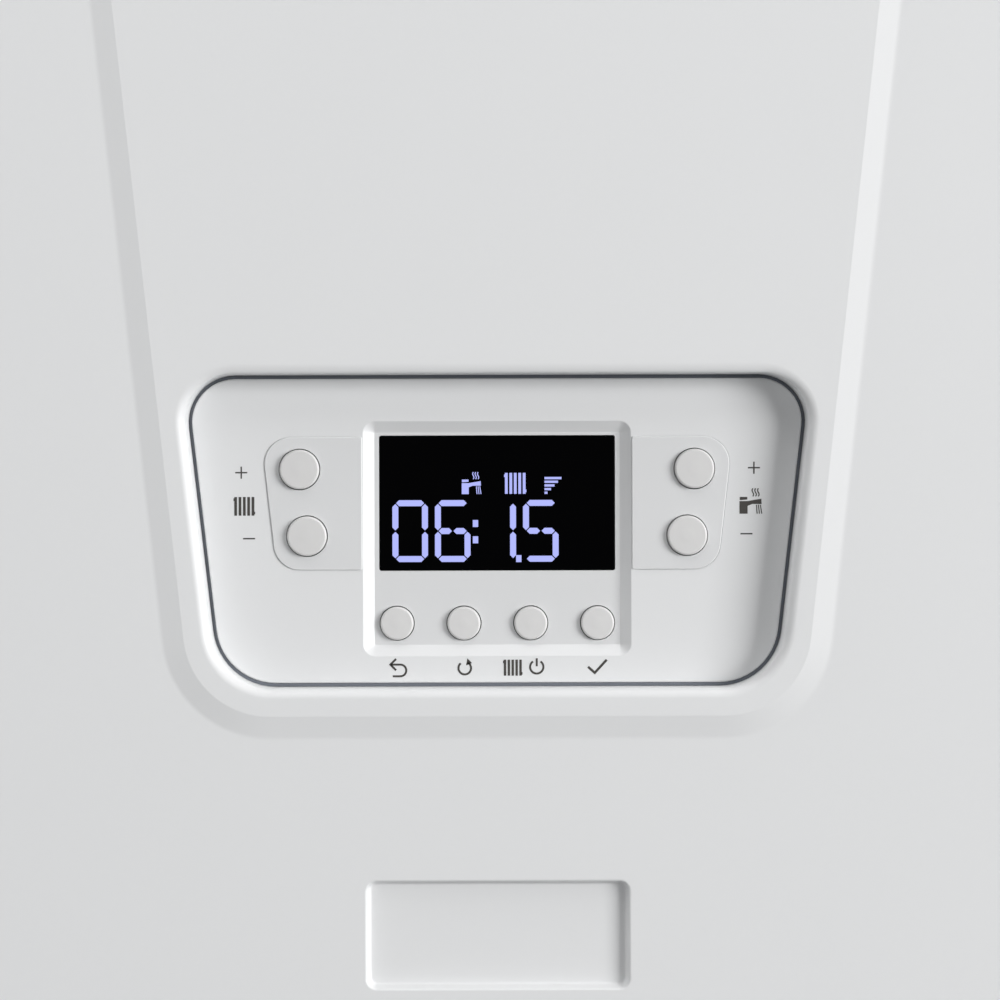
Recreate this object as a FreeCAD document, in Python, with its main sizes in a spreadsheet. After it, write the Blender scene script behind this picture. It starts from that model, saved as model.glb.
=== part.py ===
"""A wall-hung condensing gas boiler as separate named pieces. FreeCAD macro, millimetres and degrees.

The origin is midway between the wall bracket's two holes, on the wall. X runs to the right as seen from
the front, Y runs into the wall and Z runs up, so the front of the boiler faces -Y.
"""
import FreeCAD, Part
import math
import os
import Sketcher

# Driving sizes. A name that ends in height is above the lower edge of the case, and one that ends in
# depth or front or rear is a distance from the wall.
SIZES = {
    # outer case
    "case_width": 395, "case_height": 700, "case_rear": 13, "case_front": 277.8, "case_wall": 1.2,
    "case_corner": 14, "case_flange": 25, "hang_height": 640, "cut_overrun": 5, "sheet_gap": 0.3,
    # raised shield on the case
    "shield_rise": 1.2, "shield_slope": 6.5, "shield_top_margin": 34.2, "shield_bottom_half": 96.2,
    "shield_bottom_height": 86.5, "shield_top_gap": 4, "shield_corner": 32, "shield_top_corner": 12,
    "shield_soft": 3,
    # opening for the control panel and the lip round it
    "panel_height": 148, "opening_top": 46.2, "opening_bottom": 47.3, "opening_top_half": 94,
    "opening_bottom_half": 83,
    "opening_top_corner": 14, "opening_bottom_corner": 19, "lip_wall": 3, "lip_length": 12, "lip_soft": 3,
    # finger pull at the lower edge of the case
    "pull_half": 39, "pull_top_height": 44, "pull_bottom_height": 12, "pull_sink": 3, "pull_corner": 3,
    # screws that hold the case to the bottom plate
    "case_screw_margin": 32.5, "case_screw_depth": 259, "case_screw_radius": 2, "case_screw_length": 9,
    "case_screw_head_radius": 4, "case_screw_head": 3, "case_screw_play": 0.5,
    # chassis sheets
    "chassis_sheet": 1.2, "chassis_gap": 2.3, "back_plate_depth": 12, "back_flange": 28,
    "plate_front": 262, "bottom_plate_height": 1.5, "seal_length": 20, "seal_margin": 6,
    # wall bracket and hook
    "bracket_length": 260, "bracket_sheet": 3, "bracket_drop": 23, "bracket_shelf": 20,
    "bracket_reach": 9, "bracket_upstand": 38, "bracket_hole_pitch": 200, "bracket_hole_radius": 5,
    "hook_length": 220, "hook_drop": 12, "hook_gap": 0.6,
    "spacer_radius": 14, "spacer_half": 140, "spacer_height": 50,
    # control panel
    "panel_gap": 0.9, "panel_sink": 10, "panel_thickness": 7, "panel_edge": 0.5, "panel_skirt": 2.4,
    "panel_floor": 2,
    "pad_rise": 0.4, "pad_top": 28, "pad_bottom": 11.9, "pad_top_half": 70.7, "pad_bottom_half": 66.2,
    "pad_corner": 8,
    "recess_half": 40.2, "recess_top": 32.7, "recess_bottom": 37.8, "recess_sink": 2.2, "recess_slope": 3.3,
    "recess_corner": 3.6,
    "boss_half": 70, "boss_rise": 30, "boss_radius": 3,
    # display
    "display_width": 70.8, "display_height": 40.5, "display_rise": 8.1, "display_fit": 0.2,
    "module_margin": 2.5, "module_thickness": 7,
    # buttons and their switches
    "side_button_radius": 5.95, "row_button_radius": 5, "button_gap": 0.35, "button_stand": 1.6,
    "button_edge": 0.5, "button_flange": 1.2, "button_flange_thickness": 1, "button_rest_gap": 0.3,
    "button_travel": 1.2, "switch_width": 6, "plunger_radius": 1.7, "plunger_length": 1.7,
    "side_button_upper_x": 59.2, "side_button_lower_x": 57, "side_button_upper_rise": 18.3,
    "side_button_lower_drop": 1.7, "row_button_pitch": 20.1, "row_button_drop": 28,
    # control box
    "box_half": 140, "box_bottom_height": 85, "box_top_height": 210, "box_rear": 208, "box_wall": 2.5,
    "cover_thickness": 3, "board_thickness": 1.6, "panel_board_half": 82, "panel_board_rise": 40,
    "main_board_half": 115, "main_board_rise": 52, "main_board_depth": 226, "pillar_radius": 4,
    "pillar_inset": 8, "gland_radius": 8, "gland_length": 12, "gland_bore": 3.5, "gland_pitch": 30,
    "gland_x": -80, "gland_depth": 235,
    "transformer_width": 44, "transformer_height": 38, "transformer_thickness": 22, "relay_width": 16,
    "relay_height": 24, "relay_thickness": 14, "relay_pitch": 24,
    # control box hinge
    "hinge_depth": 235, "hinge_height": 93, "pin_radius": 4, "pin_play": 0.05, "pin_reach": 4,
    "hinge_plate": 3, "hinge_plate_gap": 2, "hinge_plate_half": 15, "hinge_plate_top": 14,
    # heat exchanger and burner
    "drum_height": 505, "drum_radius": 110, "drum_front": 200, "drum_rear": 76, "drum_wall": 3,
    "drum_plate_half": 172, "drum_plate_rise": 20, "drum_plate_sheet": 4, "drum_port_radius": 12,
    "drum_port_x": 105, "drum_port_depth": 118, "drum_port_drop": 65, "drum_drain_depth": 92,
    "drum_drain_radius": 11, "drum_drain_length": 18,
    "standoff_radius": 8, "standoff_x": 162,
    "core_radius": 106.5, "core_bore": 60, "core_front": 186, "fin_count": 24, "fin_tip_radius": 47,
    "fin_thickness": 3,
    "drum_flange_radius": 122, "drum_flange": 4, "door_thickness": 6, "stud_margin": 7, "stud_count": 6,
    "stud_radius": 3, "stud_length": 7, "nut_radius": 6, "nut_thickness": 5, "nut_play": 0.2,
    "burner_radius": 34, "burner_wall": 1, "burner_rear": 108, "burner_flange": 2.5,
    "burner_flange_radius": 38,
    "electrode_x": 42.5, "electrode_radius": 5, "electrode_length": 20, "electrode_wire": 1.2,
    "electrode_rear": 140, "electrode_hole": 2.5,
    # premix duct, fan, mixer and air silencer
    "duct_radius": 20, "duct_bore": 17, "duct_bend": 26, "duct_depth": 236, "duct_flange_radius": 30,
    "duct_flange": 4,
    "fan_height": 320, "fan_depth": 190, "fan_radius": 56, "fan_half": 22, "fan_wall": 3,
    "fan_outlet_half": 20, "fan_outlet_height": 396, "fan_inlet_radius": 22, "fan_shaft_radius": 4,
    "fan_shaft_gap": 2, "fan_shaft_length": 40, "fan_motor_radius": 36, "fan_motor_length": 56,
    "fan_motor_cap": 10, "fan_motor_cap_radius": 24, "fan_bearing_play": 0.05,
    "wheel_radius": 47, "wheel_half": 14, "wheel_disc": 2, "wheel_hub_radius": 10, "wheel_eye": 26,
    "blade_count": 12, "blade_thickness": 2,
    "mixer_length": 50, "mixer_radius": 27, "mixer_bore": 22, "mixer_throat": 14, "mixer_flange": 4,
    "mixer_flange_radius": 32, "mixer_port_radius": 9, "mixer_port_x": 50,
    "silencer_radius": 25, "silencer_bore": 22, "silencer_bend": 40, "silencer_x": 142,
    "silencer_height": 440,
    # gas valve and gas pipe
    "valve_half": 27, "valve_front": 218, "valve_rear": 162, "valve_length": 60,
    "valve_port_length": 18, "coil_radius": 13, "coil_length": 20, "coil_rise": 18,
    "gas_pipe_radius": 11, "gas_pipe_bore": 9.8, "gas_bend": 24, "gas_level_height": 168,
    "gas_pipe_depth": 190,
    # flue
    "flue_depth": 125, "flue_neck": 6, "flue_bore": 30.3, "flue_wall": 2.2, "flue_top_height": 750,
    "flue_socket_length": 50, "flue_throat": 28, "collar_radius": 50, "collar_wall": 2,
    "collar_flange_radius": 72, "collar_flange": 4, "collar_screw_circle": 64, "collar_screw_count": 4,
    "collar_screw_radius": 4, "collar_screw_head": 3,
    # expansion vessel
    "vessel_height": 520, "vessel_radius": 150, "vessel_front": 70, "vessel_flat": 60, "vessel_shoulder": 140,
    "vessel_rim": 10, "vessel_wall": 1.5, "vessel_port_x": 58, "vessel_port_radius": 9,
    "vessel_port_bore": 4, "vessel_port_length": 16,
    "vessel_pipe_radius": 6, "vessel_pipe_bore": 5, "vessel_bend": 20, "vessel_level_height": 215,
    "vessel_pipe_depth": 90,
    # connection tails
    "tail_pitch": 65, "tail_depth": 100, "tail_drop": 36, "large_tail_radius": 13.2,
    "small_tail_radius": 10.5, "tail_wall": 3, "tail_collar": 4.5, "tail_collar_length": 8,
    "tail_play": 2,
    # flow and return groups, plate exchanger
    "group_bottom_height": 45, "group_inner": 45, "group_outer": 165, "group_front": 140,
    "group_rear": 78, "flow_group_top_height": 115, "return_group_top_height": 105,
    "plates_half": 85, "plates_rear": 34, "plates_bottom_height": 50, "plates_top_height": 126,
    "plates_end": 4, "plates_count": 8, "plates_groove": 1.6,
    # pump
    "pump_x": 125, "pump_height": 155, "pump_radius": 48, "pump_front": 140, "pump_rear": 95,
    "pump_wall": 5, "pump_neck_half": 15, "pump_port_height": 214, "pump_port_radius": 12,
    "pump_motor_radius": 43, "pump_motor_front": 196, "pump_motor_cap": 12, "pump_motor_cap_radius": 26,
    "pump_shaft_radius": 5, "pump_shaft_length": 40, "pump_wheel_radius": 36, "pump_wheel_half": 11,
    "pump_wheel_disc": 3, "pump_blade_count": 6, "pump_eye": 14, "vent_x": 93, "vent_radius": 11,
    "vent_bottom_height": 178, "vent_top_height": 232,
    # diverter
    "diverter_x": -78, "diverter_depth": 112, "diverter_half": 20, "diverter_bottom_height": 152,
    "diverter_top_height": 196, "diverter_leg": 5, "spindle_radius": 3, "spindle_play": 0.05,
    "spindle_bottom_height": 97, "spindle_top_height": 166, "spindle_travel": 7, "spindle_margin": 2,
    # safety valve, filling knob, pressure sensor
    "safety_x": 66, "safety_height": 75, "safety_radius": 13, "safety_length": 28, "knob_gap": 0.4,
    "safety_knob_radius": 16, "safety_knob_length": 20, "safety_stem_radius": 4, "safety_stem_length": 14,
    "knob_flute": 2.5, "knob_flute_count": 8,
    "filling_x": 98, "filling_depth": 122, "filling_stem_radius": 4, "filling_knob_radius": 14,
    "filling_knob_length": 20, "filling_drop": 8, "filling_stem_reach": 14,
    "sensor_x": -140, "sensor_height": 80, "sensor_hex": 11, "sensor_hex_length": 8, "sensor_radius": 9,
    "sensor_length": 24,
    # condensate
    "trap_margin": 44, "trap_depth": 47, "trap_radius": 27, "trap_bottom_height": 60, "trap_top_height": 172,
    "trap_neck": 12, "trap_outlet_radius": 11, "trap_outlet_bore": 8.5, "trap_collar_radius": 18,
    "drain_pipe_radius": 9, "drain_pipe_bore": 7.5, "drain_bend": 26, "drain_level_height": 270,
    # copper pipes
    "pipe_radius": 9, "pipe_bore": 8, "pipe_bend": 18, "flow_pipe_x": 132,
}


class Size:
    """A length with its number and the sheet formula that drives it."""

    def __init__(self, number, formula):
        self.number = float(number)
        self.formula = formula

    def __float__(self):
        return self.number

    def __add__(self, other):
        other = as_size(other)
        return Size(self.number + other.number, f"({self.formula} + {other.formula})")

    def __sub__(self, other):
        other = as_size(other)
        return Size(self.number - other.number, f"({self.formula} - {other.formula})")

    def __mul__(self, other):
        other = as_size(other)
        return Size(self.number * other.number, f"({self.formula} * {other.formula})")

    def __truediv__(self, other):
        other = as_size(other)
        return Size(self.number / other.number, f"({self.formula} / {other.formula})")

    def __neg__(self):
        return Size(-self.number, f"(-1 * {self.formula})")


def as_size(thing):
    return thing if isinstance(thing, Size) else Size(thing, repr(thing))


def slope_angle(run, rise):
    """The angle whose tangent is run over rise."""
    return Size(math.degrees(math.atan2(float(run), float(rise))), f"atan({run.formula} / {rise.formula})")


class SizeSheet:
    """The document's spreadsheet of driving sizes, read by name."""

    def __init__(self, document, table):
        self.sheet = document.addObject("Spreadsheet::Sheet", "Sizes")
        for row, (name, number) in enumerate(table.items(), start=1):
            self.sheet.set(f"A{row}", name)
            self.sheet.set(f"B{row}", str(number))
            self.sheet.setAlias(f"B{row}", name)
        document.recompute()

    def __getattr__(self, name):
        return Size(self.sheet.get(name), f"Sizes.{name}")


doc = FreeCAD.newDocument("boiler")
size = SizeSheet(doc, SIZES)
nodes = []

AXIS_X = FreeCAD.Vector(1, 0, 0)
AXIS_Y = FreeCAD.Vector(0, 1, 0)
UPRIGHT = FreeCAD.Rotation()
TO_FRONT = FreeCAD.Rotation(AXIS_X, 90)
TO_WALL = FreeCAD.Rotation(AXIS_X, -90)
TO_RIGHT = FreeCAD.Rotation(AXIS_Y, 90)
TO_LEFT = FreeCAD.Rotation(AXIS_Y, -90)
DOWN = FreeCAD.Rotation(AXIS_X, 180)


def up(height):
    """The Z of a height above the lower edge of the case."""
    return height - size.hang_height


def out(distance):
    """The Y of a distance from the wall."""
    return -distance


# Values that several pieces share
front_face = size.case_front + size.shield_rise
panel_face = front_face - size.panel_sink
pad_face = panel_face + size.pad_rise
recess_floor = panel_face - size.recess_sink
panel_inside = recess_floor - size.panel_floor
panel_rear = panel_face - size.panel_thickness
panel_board_front = panel_inside - size.module_thickness
inner_half = size.case_width / 2 - size.case_wall
chassis_half = inner_half - size.chassis_gap
trap_x = size.trap_margin - chassis_half
shield_top_half = size.case_width / 2 - size.shield_top_margin
case_screw_half = size.case_width / 2 - size.case_screw_margin
bottom_plate_top = size.bottom_plate_height + size.chassis_sheet
top_plate_top = size.case_height - size.case_wall - size.sheet_gap
top_plate_bottom = top_plate_top - size.chassis_sheet
back_plate_rear = size.back_plate_depth - size.chassis_sheet
panel_z = up(size.panel_height)
valve_top = size.fan_height - size.mixer_throat - size.mixer_flange - size.valve_port_length


def bind(thing, **sizes):
    for name, value in sizes.items():
        thing.setExpression(name, as_size(value).formula)


def place(thing, x=0, y=0, z=0, turn=UPRIGHT):
    thing.Placement = FreeCAD.Placement(FreeCAD.Vector(), turn)
    for axis, value in zip("xyz", (x, y, z)):
        thing.setExpression(f"Placement.Base.{axis}", as_size(value).formula)


def node(name, thing):
    """Names a finished piece, so that it is checked and written to its own file."""
    thing.Label = name
    nodes.append(thing)
    return thing


def block(x, y, z):
    """A box between two places along each axis."""
    thing = doc.addObject("Part::Box", "block")
    bind(thing, Length=x[1] - x[0], Width=y[1] - y[0], Height=z[1] - z[0])
    place(thing, x[0], y[0], z[0])
    return thing


def rod(radius, length, x, y, z, turn=UPRIGHT):
    thing = doc.addObject("Part::Cylinder", "rod")
    bind(thing, Radius=radius, Height=length)
    place(thing, x, y, z, turn)
    return thing


def hexagon(radius, length, x, y, z, turn=UPRIGHT):
    thing = doc.addObject("Part::Prism", "hexagon")
    thing.Polygon = 6
    bind(thing, Circumradius=radius, Height=length)
    place(thing, x, y, z, turn)
    return thing


def join(*pieces):
    thing = doc.addObject("Part::MultiFuse", "joined")
    thing.Shapes = list(pieces)
    thing.Refine = True
    return thing


def cut(base, *tools):
    thing = doc.addObject("Part::Cut", "cut")
    thing.Base = base
    thing.Tool = tools[0] if len(tools) == 1 else join(*tools)
    thing.Refine = True
    return thing


def group(pieces):
    thing = doc.addObject("Part::Compound", "group")
    thing.Links = list(pieces)
    return thing


def around(count, radius):
    """Evenly spaced places on a circle, as pairs of sizes from its centre."""
    turns = [2 * math.pi * step / count for step in range(count)]
    return [(radius * math.cos(turn), radius * math.sin(turn)) for turn in turns]


def hold(sketch, geometry, position, x, y):
    """Fixes one point of a sketch by two distances from its origin, bound to the sheet."""
    for kind, value in (("DistanceX", as_size(x)), ("DistanceY", as_size(y))):
        index = sketch.addConstraint(Sketcher.Constraint(kind, -1, 1, geometry, position, float(value)))
        sketch.setExpression(f"Constraints[{index}]", value.formula)


def sketch_on(body, role, offset=0):
    sketch = body.newObject("Sketcher::SketchObject", "sketch")
    plane = next(thing for thing in body.Origin.OriginFeatures if thing.Role == role)
    sketch.AttachmentSupport = [(plane, "")]
    sketch.MapMode = "FlatFace"
    sketch.setExpression("AttachmentOffset.Base.z", as_size(offset).formula)
    return sketch


def draw_outline(sketch, points, radii=None):
    """A closed outline of lines, with round corners where a radius is given."""
    first = sketch.GeometryCount
    corners = [FreeCAD.Vector(float(x), float(y), 0) for x, y in points]
    count = len(corners)
    for step in range(count):
        line = Part.LineSegment(corners[step], corners[(step + 1) % count])
        sketch.addGeometry(line, False)
    for step in range(count):
        after = first + (step + 1) % count
        sketch.addConstraint(Sketcher.Constraint("Coincident", first + step, 2, after, 1))
    for step, (x, y) in enumerate(points):
        hold(sketch, first + step, 1, x, y)
    for step, radius in enumerate(radii or []):
        if radius is None:
            continue
        sketch.fillet(first + step, 1, float(radius), True, True)
        arc = max(index for index, shape in enumerate(sketch.Geometry) if isinstance(shape, Part.ArcOfCircle))
        index = sketch.addConstraint(Sketcher.Constraint("Radius", arc, float(radius)))
        sketch.setExpression(f"Constraints[{index}]", radius.formula)


def draw_circle(sketch, x, y, radius):
    centre = FreeCAD.Vector(float(x), float(y), 0)
    circle = Part.Circle(centre, FreeCAD.Vector(0, 0, 1), float(radius))
    geometry = sketch.addGeometry(circle, False)
    hold(sketch, geometry, 3, x, y)
    index = sketch.addConstraint(Sketcher.Constraint("Radius", geometry, float(radius)))
    sketch.setExpression(f"Constraints[{index}]", radius.formula)


def new_body():
    return doc.addObject("PartDesign::Body", "body")


def extrude(body, kind, sketch, length, backward=False, taper=None):
    """A pad or a pocket of a sketch."""
    feature = body.newObject(f"PartDesign::{kind}", kind.lower())
    feature.Profile = sketch
    feature.Reversed = backward
    bind(feature, Length=length)
    if taper is not None:
        bind(feature, TaperAngle=-taper)
    return feature


def round_edges(body, feature, radius, wanted):
    """Rounds the edges of a feature that a test picks out."""
    doc.recompute()
    names = [f"Edge{index}" for index, edge in enumerate(feature.Shape.Edges, start=1) if wanted(edge)]
    fillet = body.newObject("PartDesign::Fillet", "fillet")
    fillet.Base = (feature, names)
    bind(fillet, Radius=radius)
    return fillet


def turned(profile, x, y, z, turn=UPRIGHT):
    """A body turned about its own axis from (radius, distance along the axis) points."""
    body = new_body()
    sketch = sketch_on(body, "XZ_Plane")
    draw_outline(sketch, profile)
    revolution = body.newObject("PartDesign::Revolution", "revolution")
    revolution.Profile = sketch
    revolution.ReferenceAxis = (sketch, ["V_Axis"])
    revolution.Angle = 360
    place(body, x, y, z, turn)
    return body


def tube_profile(radius, bore, start, end):
    return [(bore, start), (radius, start), (radius, end), (bore, end)]


def sheet_plate(outline, holes, z, thickness):
    """A level sheet with round holes."""
    body = new_body()
    sketch = sketch_on(body, "XY_Plane")
    draw_outline(sketch, outline)
    for x, y, radius in holes:
        draw_circle(sketch, x, y, radius)
    extrude(body, "Pad", sketch, thickness)
    place(body, z=z)
    return body


def pipe(route, radius, bore, bend):
    """A tube along straight runs joined by tangent arcs."""
    points = [FreeCAD.Vector(*(float(value) for value in point)) for point in route]
    edges = []
    start = points[0]
    for before, corner, after in zip(points, points[1:], points[2:]):
        toward = (before - corner).normalize()
        away = (after - corner).normalize()
        half_turn = toward.getAngle(away) / 2
        reach = float(bend) / math.tan(half_turn)
        middle = (toward + away).normalize() * (float(bend) / math.sin(half_turn) - float(bend))
        edges.append(Part.LineSegment(start, corner + toward * reach).toShape())
        edges.append(Part.Arc(corner + toward * reach, corner + middle, corner + away * reach).toShape())
        start = corner + away * reach
    edges.append(Part.LineSegment(start, points[-1]).toShape())
    path = Part.Wire(edges)
    along = points[1] - points[0]

    def swept(section_radius):
        section = Part.Wire(Part.makeCircle(float(section_radius), points[0], along))
        return path.makePipeShell([section], True, False)

    thing = doc.addObject("Part::Feature", "pipe")
    thing.Shape = swept(radius).cut(swept(bore))
    return thing


# Outer case and what fastens it

def trapezoid(top_half, bottom_half, top, bottom):
    """Corners of a form that narrows downwards, from the lower left, counter-clockwise."""
    return [(-bottom_half, bottom), (bottom_half, bottom), (top_half, top), (-top_half, top)]


def opening_outline(grow):
    """The panel opening's corners and radii, grown or shrunk all round."""
    corners = trapezoid(size.opening_top_half + grow, size.opening_bottom_half + grow,
                        panel_z + size.opening_top + grow, panel_z - size.opening_bottom - grow)
    low, high = size.opening_bottom_corner + grow, size.opening_top_corner + grow
    return corners, [low, low, high, high]


def make_outer_case():
    body = new_body()
    place(body, y=out(size.case_rear))
    depth = size.case_front - size.case_rear
    low, high = up(as_size(0)), up(size.case_height)

    def rectangle(half, bottom, top):
        return trapezoid(half, half, top, bottom)

    sketch = sketch_on(body, "XZ_Plane")
    draw_outline(sketch, rectangle(size.case_width / 2, low, high))
    shell = extrude(body, "Pad", sketch, depth)
    front = float(depth)

    def front_upright(edge):
        points = [vertex.Point for vertex in edge.Vertexes]
        on_front = all(abs(point.y + front) < 1e-6 for point in points)
        return on_front and abs(points[0].z - points[-1].z) > front

    round_edges(body, shell, size.case_corner, front_upright)

    taper = slope_angle(size.shield_slope, size.shield_rise)
    sketch = sketch_on(body, "XZ_Plane", depth)
    shield_low, shield_high = up(size.shield_bottom_height), high - size.shield_top_gap
    draw_outline(sketch, trapezoid(shield_top_half, size.shield_bottom_half, shield_high, shield_low),
                 [size.shield_corner, size.shield_corner, size.shield_top_corner, size.shield_top_corner])
    shield = extrude(body, "Pad", sketch, size.shield_rise, taper=taper)
    rim = front + float(size.shield_rise)
    round_edges(body, shield, size.shield_soft,
                lambda edge: all(abs(vertex.Point.y + rim) < 1e-6 for vertex in edge.Vertexes))

    sketch = sketch_on(body, "XY_Plane", low + size.case_wall)
    inside, soft = size.case_wall - depth, size.case_corner - size.case_wall
    draw_outline(sketch, [(-inner_half, inside), (inner_half, inside), (inner_half, size.cut_overrun),
                          (-inner_half, size.cut_overrun)], [soft, soft, None, None])
    extrude(body, "Pocket", sketch, size.case_height - size.case_wall * 2, backward=True)
    sketch = sketch_on(body, "XZ_Plane", depth - size.case_wall)
    wall = size.case_wall
    draw_outline(sketch, trapezoid(shield_top_half - wall, size.shield_bottom_half - wall,
                                   shield_high - wall, shield_low + wall),
                 [size.shield_corner - wall, size.shield_corner - wall,
                  size.shield_top_corner - wall, size.shield_top_corner - wall])
    extrude(body, "Pocket", sketch, size.shield_rise, backward=True, taper=taper)

    sketch = sketch_on(body, "XZ_Plane", depth + size.shield_rise - size.lip_length)
    draw_outline(sketch, *opening_outline(size.lip_wall))
    extrude(body, "Pad", sketch, size.lip_length - size.case_wall)
    sketch = sketch_on(body, "XZ_Plane", depth + size.shield_rise - size.lip_length - size.cut_overrun)
    draw_outline(sketch, *opening_outline(as_size(0)))
    opening = extrude(body, "Pocket", sketch, size.lip_length + size.cut_overrun * 2, backward=True)
    reach = float(size.opening_top_half)

    def opening_rim(edge):
        box = edge.BoundBox
        level = abs(box.YMin + rim) < 1e-6 and box.YLength < 1e-6
        near = box.ZMax < float(panel_z) + float(size.opening_top) * 2
        inside = box.ZMin > float(panel_z) - float(size.opening_bottom) - 1e-6
        return level and near and inside and max(abs(box.XMin), abs(box.XMax)) < reach

    round_edges(body, opening, size.lip_soft, opening_rim)

    pull_low, pull_high = up(size.pull_bottom_height), up(size.pull_top_height)
    sketch = sketch_on(body, "XZ_Plane", depth - size.pull_sink - size.case_wall)
    draw_outline(sketch, rectangle(size.pull_half + size.case_wall, pull_low - size.case_wall,
                                   pull_high + size.case_wall))
    extrude(body, "Pad", sketch, size.pull_sink)
    sketch = sketch_on(body, "XZ_Plane", depth - size.pull_sink)
    draw_outline(sketch, rectangle(size.pull_half, pull_low, pull_high), [size.pull_corner] * 4)
    extrude(body, "Pocket", sketch, size.pull_sink + size.cut_overrun, backward=True)

    # the top and bottom walls stay only as flanges along the front, with holes for the two screws
    sketch = sketch_on(body, "XY_Plane", low - size.cut_overrun)
    rear, flange = size.cut_overrun, -(depth - size.case_flange)
    draw_outline(sketch, [(-inner_half, flange), (inner_half, flange), (inner_half, rear),
                          (-inner_half, rear)])
    extrude(body, "Pocket", sketch, size.case_height + size.cut_overrun * 2, backward=True)
    sketch = sketch_on(body, "XY_Plane", low - size.cut_overrun)
    for side in (-1, 1):
        draw_circle(sketch, case_screw_half * side, size.case_rear - size.case_screw_depth,
                    size.case_screw_radius + size.case_screw_play)
    extrude(body, "Pocket", sketch, size.cut_overrun + size.case_wall * 2, backward=True)
    return node("outer_case", body)


def make_case_screws():
    profile = [(as_size(0), -size.case_screw_head), (size.case_screw_head_radius, -size.case_screw_head),
               (size.case_screw_head_radius, as_size(0)), (size.case_screw_radius, as_size(0)),
               (size.case_screw_radius, size.case_screw_length), (as_size(0), size.case_screw_length)]
    return node("case_screws", group(
        turned(profile, case_screw_half * side, out(size.case_screw_depth), up(as_size(0)))
        for side in (-1, 1)))


# Chassis

def make_wall_bracket():
    body = new_body()
    sketch = sketch_on(body, "YZ_Plane")
    upstand = size.bracket_reach - size.bracket_sheet
    shelf = size.bracket_shelf - size.bracket_sheet
    draw_outline(sketch, [
        (as_size(0), -size.bracket_drop), (as_size(0), size.bracket_shelf), (-upstand, size.bracket_shelf),
        (-upstand, size.bracket_upstand), (-size.bracket_reach, size.bracket_upstand),
        (-size.bracket_reach, shelf), (-size.bracket_sheet, shelf),
        (-size.bracket_sheet, -size.bracket_drop)])
    extrude(body, "Pad", sketch, size.bracket_length)
    sketch = sketch_on(body, "XZ_Plane", -size.cut_overrun)
    for side in (-1, 1):
        draw_circle(sketch, size.bracket_length / 2 + size.bracket_hole_pitch / 2 * side, as_size(0),
                    size.bracket_hole_radius)
    extrude(body, "Pocket", sketch, size.bracket_reach + size.cut_overrun * 2, backward=True)
    place(body, x=-size.bracket_length / 2)
    return node("wall_bracket", body)


def make_back_plate():
    rear, front = out(back_plate_rear), out(size.back_plate_depth)
    low, high = up(size.bottom_plate_height), up(top_plate_top)
    half, sheet = chassis_half, size.chassis_sheet
    pieces = [block((-half, half), (front, rear), (low, high))]
    for left, right in ((-half, sheet - half), (half - sheet, half)):
        pieces.append(block((left, right), (front - size.back_flange, front), (low, high)))
    reach = out(size.bracket_sheet + size.hook_gap)
    hook = size.hook_length / 2
    roof = (size.bracket_upstand, size.bracket_upstand + sheet)
    pieces.append(block((-hook, hook), (rear, reach), roof))
    pieces.append(block((-hook, hook), (reach - sheet, reach), (roof[0] - size.hook_drop, roof[0])))
    return node("back_plate", join(*pieces))


def make_wall_spacers():
    return node("wall_spacers", group(
        rod(size.spacer_radius, back_plate_rear, size.spacer_half * side, as_size(0), up(size.spacer_height),
            TO_FRONT) for side in (-1, 1)))


def make_top_plate():
    half = chassis_half - size.chassis_sheet
    rear, front = out(size.back_plate_depth), out(size.plate_front)
    outline = [(-half, front), (half, front), (half, rear), (-half, rear)]
    holes = [(as_size(0), out(size.flue_depth), size.collar_radius - size.collar_wall)]
    return node("top_plate", sheet_plate(outline, holes, up(top_plate_bottom), size.chassis_sheet))


def tails():
    """Place, radius and top height of each connection tail, from left to right."""
    large, small, block_low = size.large_tail_radius, size.small_tail_radius, size.group_bottom_height
    return [(size.tail_pitch * step, radius, block_low)
            for step, radius in ((-2, large), (-1, small), (0, large), (1, small), (2, large))]


def make_bottom_plate():
    half = chassis_half - size.chassis_sheet
    rear, front = out(size.back_plate_depth), out(size.plate_front)
    slot = size.case_screw_radius + size.case_screw_play
    slot_end = out(size.case_screw_depth) + slot
    left, right = -case_screw_half, case_screw_half
    outline = [(-half, front), (left - slot, front), (left - slot, slot_end), (left + slot, slot_end),
               (left + slot, front), (right - slot, front), (right - slot, slot_end),
               (right + slot, slot_end), (right + slot, front), (half, front), (half, rear), (-half, rear)]
    holes = [(x, out(size.tail_depth), radius + size.tail_play) for x, radius, _ in tails()]
    holes.append((trap_x, out(size.trap_depth), size.trap_outlet_radius + size.tail_play))
    holes.append((size.filling_x, out(size.filling_depth), size.filling_stem_radius + size.tail_play))
    return node("bottom_plate", sheet_plate(outline, holes, up(size.bottom_plate_height), size.chassis_sheet))


def make_case_seals():
    inner, outer = chassis_half, inner_half - size.sheet_gap
    front = size.back_plate_depth + size.back_flange - size.seal_margin
    heights = (up(size.bottom_plate_height + size.seal_margin), up(top_plate_top - size.seal_margin))
    depths = (out(front), out(front - size.seal_length))
    return node("case_seals", group(
        block(sides, depths, heights) for sides in ((-outer, -inner), (inner, outer))))


# Control panel, its buttons and the box behind it

def button_places():
    """Name, X, height over the panel's middle, cap radius and carrying surface of each button."""
    upper, lower = size.side_button_upper_rise, -size.side_button_lower_drop
    places = []
    for side, name in ((-1, "heat"), (1, "water")):
        for word, x, rise in (("up", size.side_button_upper_x, upper),
                              ("down", size.side_button_lower_x, lower)):
            places.append((f"button_{name}_{word}", x * side, rise, size.side_button_radius, pad_face))
    for step, word in zip((-1.5, -0.5, 0.5, 1.5), ("back", "reset", "power", "confirm")):
        places.append((f"button_{word}", size.row_button_pitch * step, -size.row_button_drop,
                       size.row_button_radius, recess_floor))
    return places


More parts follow.
